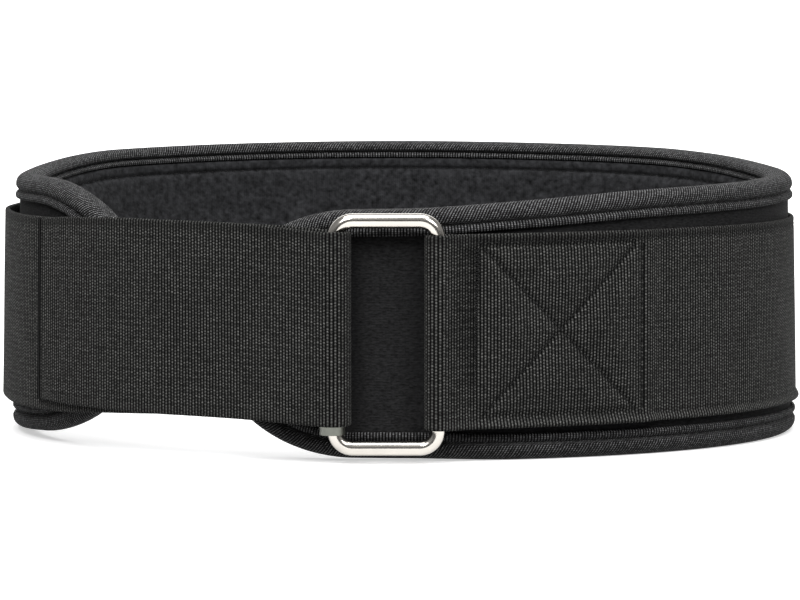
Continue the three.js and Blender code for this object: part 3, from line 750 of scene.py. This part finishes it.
class BELT_OT_edge_binding(bpy.types.Operator):
    """Grosgrain binding: its section carried round the outline, drawn in at each stitch"""

    bl_idname = "belt.edge_binding"
    bl_label = "Edge binding"

    def execute(self, context):
        sizes, colours = sizes_and_colours(context)
        band = Band(sizes)
        outline, inward = band.outline(1.6 * MM, 44)
        profile, across = binding_profile(sizes)
        outline = np.vstack([outline, outline[:1]])
        inward = np.vstack([inward, inward[:1]])
        steps = np.linalg.norm(np.diff(outline, axis=0), axis=1)
        run = np.append(0, np.cumsum(steps))[:, None]
        inset = profile[None, :, 0]
        flat = outline[:, None] + inward[:, None] * inset[..., None]
        face = np.where(profile[:, 1] > -0.5 * sizes.pad_thickness, 1.0, -1.0)
        width = np.where(face > 0, sizes.binding_outside, sizes.binding_inside)
        groove = BINDING_FACE[GROOVE_ROW]["inset"] * width
        near_groove = np.exp(-(((profile[:, 0] - groove) / (1.3 * MM)) ** 2))[None]
        order = np.arange(len(profile))
        shell = (order < SHELL_POINTS) | (order == len(profile) - 1)
        pucker = -0.14 * MM * np.cos(2 * np.pi * run / sizes.stitch_pitch) ** 2 * near_groove
        waver = 0.16 * MM * ripple(run, (23 * MM, 41 * MM, 97 * MM), 11)
        roll = np.exp(-(((profile[:, 0] - 0.4 * groove) / (2.5 * MM)) ** 2))[None]
        out = profile[None, :, 1] + face * shell * (pucker + waver * roll)
        points = band.place(flat[..., 0], out, np.maximum(flat[..., 1], 0))
        on_roll = np.clip((groove - profile[:, 0]) / (1.0 * MM), 0, 1)[None]
        slant = 0.55 * on_roll * across[None]
        uv = np.stack(np.broadcast_arrays(run + slant, across[None]), axis=-1)
        binding = surface("grosgrain_binding", points, uv, binding_material(sizes, colours))
        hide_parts("edge_binding")
        return {"FINISHED"}


def touch_angle(middle, radius, place, side):
    """Angle, from a circle's middle, where a line from a place touches the circle."""
    reach = place - middle
    return np.arctan2(reach[1], reach[0]) + side * np.arccos(radius / np.hypot(*reach))


def turn_round(middle, radius, first, second, side, count=40):
    """Middle line of webbing that turns round a bar between two places, from touch to touch."""
    start = touch_angle(middle, radius, first, side)
    end = touch_angle(middle, radius, second, -side)
    if (end - start) * side < 0:
        end += side * 2 * np.pi
    turn = np.linspace(start, end, count)
    return middle + radius * np.stack([np.cos(turn), np.sin(turn)], axis=-1)


class Strap:
    """The webbing's whole middle line, from the end folded under at the right to the tail's hem.
    Arrays by station: plan place, lower edge, width, s, how much it leans with the band, and
    which part of the strap it is."""

    def __init__(self, band):
        self.band = band
        self.parts = []
        sizes = band.sizes
        right_bar = np.array([sizes.right_leg, band.ring_y]) + band.centre
        pull = sizes.roller_bore - sizes.wire_radius - 2 * sizes.clearance
        roller = np.array([band.left_leg - pull, band.ring_y]) + band.centre
        loop = np.linspace(sizes.loop_under_end, sizes.loop_seam, 90)
        under = self.sewn(loop, 0)
        over_s = loop[::-1]
        over = self.sewn(over_s, 1)
        low = band.webbing_low(sizes.right_leg)
        turn = turn_round(right_bar, band.loop_radius, under[-1], over[0], 1)
        self.add(under, band.webbing_low(loop), sizes.webbing_width, loop, 1, UNDER)
        self.add(turn, low, sizes.webbing_width, sizes.right_leg, 0, UNDER)
        self.add(over, band.webbing_low(over_s), sizes.webbing_width, over_s, 1, OVER)
        bar = band.length + band.left_leg
        leave = bar - sizes.free_length
        rest = np.arange(sizes.loop_under_end + 1 * MM, leave - 1 * MM, 2.2 * MM)
        step_end = sizes.loop_under_end + 4 * band.layer
        down = self.sewn(rest, 1 - smoothstep(rest, sizes.loop_under_end, step_end))
        self.add(down, band.webbing_low(rest), sizes.webbing_width, rest, 1, SEWN)
        near_roller = FREE_STRAP[1]["at"] * sizes.free_length
        free_s = np.linspace(leave, bar - near_roller, 110)
        free, free_low, free_width = self.free(free_s)
        self.add(free, free_low, free_width, free_s, 1, FREE)
        at = np.linspace(sizes.fold_rest, 1, 45)
        tail_s = bar - at * sizes.tail_length
        tail = self.free(tail_s)[0] + band.outward(tail_s) * band.layer
        fold = turn_round(roller, band.fold_radius, free[-1], tail[0], -1)
        self.add(fold, *self.tail_edges(0.0), bar, 0, FREE)
        bridge = np.linspace(0.08, 1, 22, endpoint=False)[:, None]
        between = fold[-1] + (tail[0] - fold[-1]) * bridge
        gone = 1 - np.hypot(*(between - tail[0]).T) / np.hypot(*(fold[-1] - tail[0]))
        gone = gone * sizes.fold_rest
        self.add(between, *self.tail_edges(gone), bar - gone, 0, BACK_OVER)
        self.add(tail, *self.tail_edges(at), tail_s, 1, BACK_OVER)
        columns = [np.concatenate(column) for column in zip(*self.parts)]
        self.flat, self.low, self.width, self.s, self.leans, self.part = columns
        self.run = np.append(0, np.cumsum(np.hypot(*np.diff(self.flat, axis=0).T)))
        along = np.gradient(self.flat, self.run, axis=0)
        along /= np.linalg.norm(along, axis=1, keepdims=True)
        self.across = np.stack([along[:, 1], -along[:, 0]], axis=-1)

    def add(self, flat, low, width, s, leans, part):
        """Puts one stretch at the end of the strap; a single value holds for all of it."""
        count = len(flat)
        values = (low, width, s, leans, part)
        self.parts.append([flat, *(np.broadcast_to(value, count).astype(float) for value in values)])

    def sewn(self, s, layers):
        """On the padding, lifted towards the loop's seam by a smooth step, one layer up if over."""
        sizes = self.band.sizes
        rest_end = sizes.loop_seam + sizes.loop_rest
        lift = sizes.loop_lift * (1 - smoothstep(s, sizes.loop_seam, rest_end))
        return self.band.flat(s, self.band.on_face + lift + layers * self.band.layer)

    def free(self, s):
        """The free strap: plan place, lower edge and width from its table."""
        band, sizes = self.band, self.band.sizes
        at = (band.length + band.left_leg - s) / sizes.free_length
        over = follow(FREE_STRAP, "at", "over", at) * sizes.binding_rise
        out = band.on_face + over + follow(FREE_STRAP, "at", "out", at) * sizes.strap_stand_off
        low = follow(FREE_STRAP, "at", "low", at) * sizes.webbing_back_low
        return band.flat(s, out), low, follow(FREE_STRAP, "at", "width", at) * sizes.webbing_width

    def tail_edges(self, at):
        """The tail's lower edge and width from its table."""
        sizes = self.band.sizes
        low = follow(TAIL, "at", "low", at) * sizes.webbing_back_low
        return low, follow(TAIL, "at", "width", at) * sizes.webbing_width

    def place(self, i, height, aside):
        """Point at station i, at a share of the width up from the lower edge, and aside from the
        middle line, positive outwards from the belt on the sewn stretch."""
        z = self.low[i] + self.width[i] * height
        lean = self.leans[i] * self.band.lean(self.s[i], z)
        flat = self.flat[i] + self.across[i] * aside[..., None]
        flat = flat + self.band.outward(self.s[i]) * lean[..., None]
        return np.concatenate([flat, z[..., None]], axis=-1)


def box_seams(band, s, height):
    """The crossed box that is sewn through the loop's two layers. Returns how deep it pulls the
    webbing in, a narrow dip along each line between soft pillows, and the painted shade along each
    line, darkest at the needle holes."""
    sizes = band.sizes
    left, right = sizes.loop_seam + sizes.cross_inset, sizes.box_seam_end - sizes.cross_inset
    low, high = sizes.box_seam_inset, sizes.webbing_width - sizes.box_seam_inset
    wide, tall = right - left, high - low
    share = (s - left) / wide
    slope = wide / np.hypot(wide, tall)
    within = (share > -0.01) & (share < 1.01)
    upright = (height > low) & (height < high)
    zigzag = np.maximum(np.abs(s - zigzag_column(sizes, height)) - 1.1 * MM, 0)
    # For each line: where it runs, how far away it is, the way along it, and how strong its painted
    # shade is
    lines = [
        (within, np.abs(height - (low + tall * share)) * slope, s / slope, 1),
        (within, np.abs(height - (high - tall * share)) * slope, s / slope, 1),
        (upright, np.abs(s - sizes.box_seam_end), height, 1),
        (within, np.abs(height - low), s, 0.25),
        (within, np.abs(height - high), s, 0.25),
        (upright, zigzag, height, 0.8),
    ]
    distances = [np.where(there, distance, 1) for there, distance, _, _ in lines]
    nearest = np.min(distances, axis=0)
    dip = np.exp(-((nearest / (1.0 * MM)) ** 2))
    pillow = (1 - np.exp(-((nearest / (9 * MM)) ** 2))) * within
    # Painted shade along the lines, darkest at the needle holes
    painted_hole_shade = []
    for distance, (_, _, run, strength) in zip(distances, lines):
        along_line = 0.45 + 0.55 * np.cos(np.pi * run / sizes.stitch_pitch) ** 6
        painted_hole_shade.append(np.exp(-((distance / (0.55 * MM)) ** 2)) * along_line * strength)
    return 0.8 * MM * dip - 1.3 * MM * pillow, np.max(painted_hole_shade, axis=0)


def zigzag_column(sizes, height):
    """Where the zigzag column stands, slanting a little from its foot to its top."""
    return sizes.loop_seam - 2.2 * MM + 3.6 * MM * height / sizes.webbing_width


class BELT_OT_webbing(bpy.types.Operator):
    """Wide ribbed webbing with its loop, sewn stretch, fold and tail"""

    bl_idname = "belt.webbing"
    bl_label = "Webbing strap"

    def execute(self, context):
        sizes, colours = sizes_and_colours(context)
        strap = Strap(Band(sizes))
        half = sizes.webbing_thickness / 2
        bend = np.linspace(-np.pi / 2, np.pi / 2, 7)[1:-1]
        rim = half / sizes.webbing_width
        outer = np.clip(np.linspace(0, 1, WEBBING_POINTS), rim, 1 - rim)
        inner = outer[::-WEBBING_BACK_STEP]
        upper_rim = 1 - rim + rim * np.cos(bend[::-1])
        lower_rim = rim - rim * np.cos(bend)
        height = np.concatenate([outer, upper_rim, inner, lower_rim, outer[:1]])
        side = np.concatenate(
            [np.ones(len(outer)), np.sin(bend[::-1]), -np.ones(len(inner)), np.sin(bend), [1]]
        )
        stations = np.arange(len(strap.run))
        i = np.broadcast_to(stations[:, None], (len(stations), len(height)))
        aside = np.broadcast_to(half * side, i.shape).copy()
        height = np.broadcast_to(height, i.shape)
        z_in = height * sizes.webbing_width
        face_up = side[None] > 0.99
        on_box = (strap.part[i] == OVER) & face_up
        # dark is the painted shade along the box seam's lines
        depth, dark = box_seams(strap.band, strap.s[i], z_in)
        aside -= np.where(on_box, depth, 0)
        sewn = (strap.part[i] == OVER) | (strap.part[i] == SEWN)
        sewn_face = sewn & face_up
        near_edge = np.minimum(z_in, sizes.webbing_width - z_in)
        edge_seam = np.exp(-(((near_edge - sizes.selvedge) / (0.8 * MM)) ** 2))
        aside -= np.where(sewn_face, 0.25 * MM * edge_seam, 0)
        # Painted shadow at the tail's cut end; with painted shade on the box seam and the sewn edges it
        # makes the seam value
        at_hem = strap.run[-1] - strap.run[i] < sizes.hem_shade
        seam = np.where(on_box, dark, 0) + np.where(sewn_face, 0.3 * edge_seam, 0) + at_hem
        curl = sizes.edge_curl * (1 - smoothstep(z_in, 0, 1.4 * sizes.selvedge))
        aside += np.where(sewn, curl, 0)
        waves = 0.12 * MM * ripple(strap.run[i] + 0.3 * z_in, (27 * MM, 44 * MM, 71 * MM), 17)
        aside += np.where(face_up, waves * np.sin(np.pi * height), 0)
        closed = np.ones((len(stations), 1))
        closed[[0, -1]] = 0
        points = strap.place(i, height, aside * closed)
        uv = np.stack([strap.run[i], z_in], axis=-1)
        material = webbing_material(sizes, colours)
        webbing = surface("ribbed_webbing", points, uv, material, np.clip(seam, 0, 1))
        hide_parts("webbing_strap")
        return {"FINISHED"}


def stitches(name, starts, ends, ups, radius, material):
    """Sewn stitches: for each pair of places, a thread that rises out of the cloth, lies along it
    and dives back. Its radius and height follow half sines along it, round a section of 6."""
    along = ends - starts
    reach = np.linalg.norm(along, axis=1, keepdims=True)
    along = along / reach
    side = np.cross(along, ups)
    side /= np.linalg.norm(side, axis=1, keepdims=True)
    lift = np.cross(side, along)
    t = np.linspace(0, 1, 6)
    arch = np.sin(np.pi * t) ** 0.6
    arch[[0, -1]] = 0
    turn = np.linspace(0, 2 * np.pi, 7)
    middle = starts[:, None] + along[:, None] * reach[:, None] * t[None, :, None]
    middle = middle + lift[:, None] * (radius * (arch * 1.1 - 0.6))[None, :, None]
    ring = side[:, None, None] * np.cos(turn)[None, None, :, None]
    ring = ring + lift[:, None, None] * np.sin(turn)[None, None, :, None]
    points = middle[:, :, None] + ring * (radius * arch)[None, :, None, None]
    count, rows, columns = points.shape[:3]
    index = np.arange(count * rows * columns).reshape(count, rows, columns)
    run = reach[:, None, :] * t[None, :, None] + np.zeros(columns)
    uv = np.stack([run, np.broadcast_to(turn * radius, run.shape)], axis=-1)
    return mesh_object(
        name, points.reshape(-1, 3), grid_faces(index), uv.reshape(-1, 2), material
    )


def rows_at(at, run, values):
    """Rows of values between those given along a run, each column by itself."""
    return np.stack([np.interp(at, run, column) for column in values.T], axis=-1)


def along_path(points, ups, pitch, share):
    """Starts, ends and outward directions of stitches along a path of points, a whole number of
    them of about the pitch, each lying on a share of its length."""
    run = np.append(0, np.cumsum(np.linalg.norm(np.diff(points, axis=0), axis=1)))
    count = int(run[-1] / pitch)
    starts = (np.arange(count) + (1 - share) / 2) * run[-1] / count
    ends = starts + share * run[-1] / count
    middles = (starts + ends) / 2
    return rows_at(starts, run, points), rows_at(ends, run, points), rows_at(middles, run, ups)


class BELT_OT_stitching(bpy.types.Operator):
    """Stitches of the binding, the lining's seam, the webbing's edges and the box seam"""

    bl_idname = "belt.stitching"
    bl_label = "Stitching"

    def execute(self, context):
        sizes, colours = sizes_and_colours(context)
        band = Band(sizes)
        thread = thread_material(colours)
        self.binding_stitches(band, thread)
        self.webbing_stitches(Strap(band), thread)
        return {"FINISHED"}

    def binding_stitches(self, band, thread):
        """Rows of stitches in the binding's two grooves and in the lining's seam."""
        sizes = band.sizes
        outline, inward = band.outline(3 * MM, 40)
        outline = np.vstack([outline, outline[:1]])
        inward = np.vstack([inward, inward[:1]])
        groove = BINDING_FACE[GROOVE_ROW]
        rise = groove["rise"] * sizes.binding_rise
        in_lining = sizes.clearance + 0.22 * sizes.lining_thickness
        # Inset, offset from the outer face, and which way the face looks
        rows = [
            (groove["inset"] * sizes.binding_outside, rise, 1),
            (groove["inset"] * sizes.binding_inside, -sizes.pad_thickness - rise, -1),
            (sizes.lining_seam, -sizes.pad_thickness - in_lining, -1),
        ]
        runs = []
        for inset, out, face in rows:
            flat = outline + inward * inset
            points = band.place(flat[:, 0], np.full(len(flat), out), flat[:, 1])
            outward = band.outward(flat[:, 0])
            ups = face * np.column_stack([outward, np.zeros(len(outward))])
            runs.append(along_path(points, ups, sizes.stitch_pitch, 0.72))
        starts, ends, ups = (np.concatenate(parts) for parts in zip(*runs))
        stitches("binding_stitches", starts, ends, ups, 0.22 * MM, thread)

    def webbing_stitches(self, strap, thread):
        """Stitches along both edges of the sewn stretch and the tail, and over the box seam."""
        sizes = strap.band.sizes
        half = sizes.webbing_thickness / 2
        edge = sizes.selvedge
        top = sizes.webbing_width - edge
        low, high = sizes.box_seam_inset, sizes.webbing_width - sizes.box_seam_inset
        cross_left = sizes.loop_seam + sizes.cross_inset
        cross_right = sizes.box_seam_end - sizes.cross_inset
        sewn = np.flatnonzero((strap.part == OVER) | (strap.part == SEWN))
        tail = np.flatnonzero(strap.part == BACK_OVER)
        over = np.flatnonzero(strap.part == OVER)
        on_cross = over[(strap.s[over] >= cross_left) & (strap.s[over] <= cross_right)]
        share = (strap.s[on_cross] - cross_left) / (cross_right - cross_left)
        at_end = over[np.argmin(np.abs(strap.s[over] - sizes.box_seam_end))]
        # Stations, heights up the webbing, depth in it, and the share of the pitch that shows
        lines = [
            (sewn, edge, 0.25 * MM, 0.7),
            (sewn, top, 0.25 * MM, 0.7),
            (tail, edge, 0, 0.7),
            (tail, top, 0, 0.7),
            (on_cross, low + (high - low) * share, 0.75 * MM, 0.7),
            (on_cross, high + (low - high) * share, 0.75 * MM, 0.7),
            (np.full(60, at_end), np.linspace(low, high, 60), 0.75 * MM, 0.6),
        ]
        runs = []
        for chosen, heights, depth, showing in lines:
            up = np.broadcast_to(heights, len(chosen)) / sizes.webbing_width
            points = strap.place(chosen, up, np.full(len(chosen), half - depth))
            ups = np.column_stack([strap.across[chosen], np.zeros(len(chosen))])
            runs.append(along_path(points, ups, sizes.stitch_pitch, showing))
        runs.append(self.zigzag(strap, over))
        starts, ends, ups = (np.concatenate(parts) for parts in zip(*runs))
        stitches("webbing_stitches", starts, ends, ups, 0.24 * MM, thread)

    def zigzag(self, strap, over):
        """Threads of the zigzag column: each goes across the column and a little up."""
        sizes = strap.band.sizes
        high = sizes.webbing_width - sizes.box_seam_inset
        height = np.arange(sizes.box_seam_inset, high, 0.9 * MM)
        side = np.where(np.arange(len(height)) % 2, 1.5 * MM, -1.5 * MM)
        place = zigzag_column(sizes, height) + side
        order = over[np.argsort(strap.s[over])]
        station = np.round(np.interp(place, strap.s[order], order)).astype(int)
        aside = np.full(len(height), sizes.webbing_thickness / 2 - 0.65 * MM)
        points = strap.place(station, height / sizes.webbing_width, aside)
        ups = np.column_stack([strap.across[station], np.zeros(len(height))])
        return points[:-1], points[1:], ups[:-1]


class BELT_OT_ring(bpy.types.Operator):
    """Polished wire ring with rounded corners"""

    bl_idname = "belt.ring"
    bl_label = "Ring"

    def execute(self, context):
        sizes, colours = sizes_and_colours(context)
        radius, corner = sizes.wire_radius, sizes.ring_corner
        low, high = RING_BOX[0], RING_BOX[1]
        left, right = low[0] + radius + corner, high[0] - radius - corner
        bottom, top = low[2] + radius + corner, high[2] - radius - corner
        quarter = np.linspace(0, np.pi / 2, 17)
        # Middle of each corner's bend, and the angle at which the bend starts
        centres = [
            (right, bottom, -np.pi / 2), (right, top, 0), (left, top, np.pi / 2), (left, bottom, np.pi),
        ]
        turn = np.concatenate([start + quarter for _, _, start in centres] + [[-np.pi / 2]])
        middle = np.repeat([(x, z) for x, z, _ in centres], len(quarter), axis=0)
        middle = np.vstack([middle, middle[:1]])
        outward = np.stack([np.cos(turn), np.sin(turn)], axis=-1)
        line = middle + corner * outward
        around = np.linspace(0, 2 * np.pi, 33)
        ring_y = RING_BOX[:, 1].mean()
        flat = line[:, None] + outward[:, None] * (radius * np.cos(around))[None, :, None]
        y = np.broadcast_to(ring_y + radius * np.sin(around), flat.shape[:2])
        points = np.stack([flat[..., 0], y, flat[..., 1]], axis=-1)
        steel = metal_material("polished_wire", colours.steel, 0.13, 0.19, 400, 0.002 * MM)
        uv = np.zeros((*points.shape[:2], 2))
        ring = surface("wire_ring", points, uv, steel)
        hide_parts("buckle_ring")
        return {"FINISHED"}


class BELT_OT_roller(bpy.types.Operator):
    """Satin roller sleeve with rolled edges on the ring's left bar"""

    bl_idname = "belt.roller"
    bl_label = "Roller"

    def execute(self, context):
        sizes, colours = sizes_and_colours(context)
        low, high = (np.array(corner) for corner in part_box("ring_roller"))
        middle = (low + high) / 2
        inner, outer = sizes.roller_bore, sizes.roller_bore + sizes.roller_wall
        rim = 0.35 * sizes.roller_wall
        foot, head = low[2], high[2]
        profile = np.array([
            (inner, foot + rim), (inner + rim, foot), (outer - rim, foot), (outer, foot + rim),
            (outer, head - rim), (outer - rim, head), (inner + rim, head), (inner, head - rim),
            (inner, foot + rim),
        ])
        turn = np.linspace(0, 2 * np.pi, 49)
        x = middle[0] + np.cos(turn)[:, None] * profile[None, :, 0]
        y = middle[1] + np.sin(turn)[:, None] * profile[None, :, 0]
        z = np.broadcast_to(profile[None, :, 1], x.shape)
        satin = metal_material("satin_sleeve", colours.roller, 0.28, 0.5, 500, 0.02 * MM)
        points = np.stack([x, y, z], axis=-1)
        roller = surface("roller_sleeve", points, np.zeros((*x.shape, 2)), satin)
        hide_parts("ring_roller")
        return {"FINISHED"}


class BELT_OT_stage(bpy.types.Operator):
    """Pale floor, soft studio light and the camera"""

    bl_idname = "belt.stage"
    bl_label = "Stage"

    camera_distance: length("Camera distance", 1.57, "From the oval's middle to the camera")
    camera_height: length("Camera height", 0.18405, "Camera's height over the floor")
    camera_aside: FloatProperty(
        name="Camera aside", description="Camera's place across the belt", default=-0.25 * MM,
        unit="LENGTH",
    )
    camera_pitch: FloatProperty(
        name="Camera pitch", description="How far the camera looks down", default=0.0829,
        unit="ROTATION",
    )
    focal_share: FloatProperty(
        name="Focal share", description="Focal length over the picture's width", default=3726 / 800
    )
    floor_glow: FloatProperty(
        name="Floor glow", description="Evens out the paper's shadows", default=0.5
    )
    wall_start: length("Wall start", 2.9, "From the belt's middle back to where the floor sweeps up")

    def execute(self, context):
        sizes, colours = sizes_and_colours(context)
        band = Band(sizes)
        scene = context.scene
        data = bpy.data.cameras.new("camera")
        sensor = 36
        data.sensor_width = sensor
        data.lens = sensor * self.focal_share
        data.clip_end = 20
        camera = bpy.data.objects.new("camera", data)
        camera.location = (
            band.centre[0] + self.camera_aside, band.centre[1] - self.camera_distance, self.camera_height
        )
        camera.rotation_euler = (np.pi / 2 - self.camera_pitch, 0, 0)
        scene.collection.objects.link(camera)
        scene.camera = camera
        self.floor(colours)
        self.lights()
        scene.view_settings.view_transform = "Standard"
        return {"FINISHED"}

    def floor(self, colours):
        """A floor that sweeps up into a wall far behind: a level line, a quarter circle, a rise."""
        turn = np.linspace(0, np.pi / 2, 25)
        bend, near_edge, half_width, wall_top = 0.8, -1.75, 4.0, 3
        far_edge = self.wall_start + bend
        y = np.concatenate([[near_edge], self.wall_start + bend * np.sin(turn), [far_edge]])
        z = np.concatenate([[0], bend * (1 - np.cos(turn)), [wall_top]])
        x = np.array([-half_width, half_width])
        points = np.stack(np.broadcast_arrays(x[:, None], y[None], z[None]), axis=-1)
        rows, columns = points.shape[:2]
        faces = grid_faces(np.arange(rows * columns).reshape(rows, columns))
        mesh = bpy.data.meshes.new("floor")
        mesh.from_pydata(points.reshape(-1, 3).tolist(), [], faces.tolist())
        mesh.polygons.foreach_set("use_smooth", np.ones(len(mesh.polygons), bool))
        material = bpy.data.materials.new("studio_paper")
        material.use_nodes = True
        tree = material.node_tree
        shader = tree.nodes["Principled BSDF"]
        shader.inputs["Roughness"].default_value = 0.9
        shader.inputs["Emission Color"].default_value = (1, 1, 1, 1)
        shader.inputs["Emission Strength"].default_value = self.floor_glow
        paper = noise(tree, 3, 2)
        tone = mixed(tree, paper, tuple(0.99 * c for c in colours.floor), colours.floor)
        tree.links.new(tone, shader.inputs["Base Color"])
        mesh.materials.append(material)
        floor = bpy.data.objects.new("floor", mesh)
        floor.visible_diffuse = False
        bpy.context.scene.collection.objects.link(floor)

    def lights(self):
        """Soft boxes above and at both sides of the front, one on the wall, and a pale surround
        that is darker level with the camera on its side."""
        # Name, place in metres, turn in degrees, size in metres and power in watts
        lamps = [
            ("key_light", (-0.6, -1.5, 1.6), (46, 0, -22), 0.8, 24),
            ("fill_light", (0.9, -1.3, 1.3), (52, 0, 35), 0.8, 14),
            ("top_light", (0, -0.25, 1.4), (10, 0, 0), 1.2, 16),
            ("wall_light", (0, 2.2, 2.2), (50, 0, 0), 2.4, 95),
        ]
        for name, place, turn, size, power in lamps:
            data = bpy.data.lights.new(name, "AREA")
            data.size = size
            data.energy = power
            lamp = bpy.data.objects.new(name, data)
            lamp.location = place
            lamp.rotation_euler = Euler(np.radians(turn))
            bpy.context.scene.collection.objects.link(lamp)
        world = bpy.data.worlds.new("studio")
        world.use_nodes = True
        tree = world.node_tree
        background = tree.nodes["Background"]
        background.inputs["Strength"].default_value = 0.33
        way = tree.nodes.new("ShaderNodeSeparateXYZ")
        tree.links.new(tree.nodes.new("ShaderNodeTexCoord").outputs["Generated"], way.inputs[0])
        level = maths(tree, "MULTIPLY", maths(tree, "ABSOLUTE", way.outputs[2]), 2.6, clamp=True)
        behind = maths(tree, "MULTIPLY_ADD", way.outputs[1], 3.0, 0.8, clamp=True)
        tone = mixed(tree, maths(tree, "MAXIMUM", level, behind), (0.03, 0.028, 0.025), (1, 1, 1))
        tree.links.new(tone, background.inputs["Color"])
        bpy.context.scene.world = world


STEPS = (
    BELT_OT_stage,
    BELT_OT_padded_body,
    BELT_OT_lining,
    BELT_OT_edge_binding,
    BELT_OT_webbing,
    BELT_OT_stitching,
    BELT_OT_ring,
    BELT_OT_roller,
)


class BELT_PT_panel(bpy.types.Panel):
    """Lists the steps that build the belt, and its sizes and colours"""

    bl_idname = "BELT_PT_panel"
    bl_label = "Lifting belt"
    bl_space_type = "VIEW_3D"
    bl_region_type = "UI"
    bl_category = "Belt"

    def draw(self, context):
        for step in STEPS:
            self.layout.operator(step.bl_idname)
        for group in (context.scene.belt_sizes, context.scene.belt_colours):
            for name in group.__annotations__:
                self.layout.prop(group, name)


CLASSES = (BeltSizes, BeltColours, *STEPS, BELT_PT_panel)


def register():
    for each in CLASSES:
        bpy.utils.register_class(each)
    bpy.types.Scene.belt_sizes = PointerProperty(type=BeltSizes)
    bpy.types.Scene.belt_colours = PointerProperty(type=BeltColours)


def unregister():
    del bpy.types.Scene.belt_colours
    del bpy.types.Scene.belt_sizes
    for each in reversed(CLASSES):
        bpy.utils.unregister_class(each)


def main():
    """Registers the add-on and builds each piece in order."""
    register()
    for step in STEPS:
        group, name = step.bl_idname.split(".")
        getattr(getattr(bpy.ops, group), name)()
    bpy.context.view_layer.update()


if __name__ == "__main__":
    main()
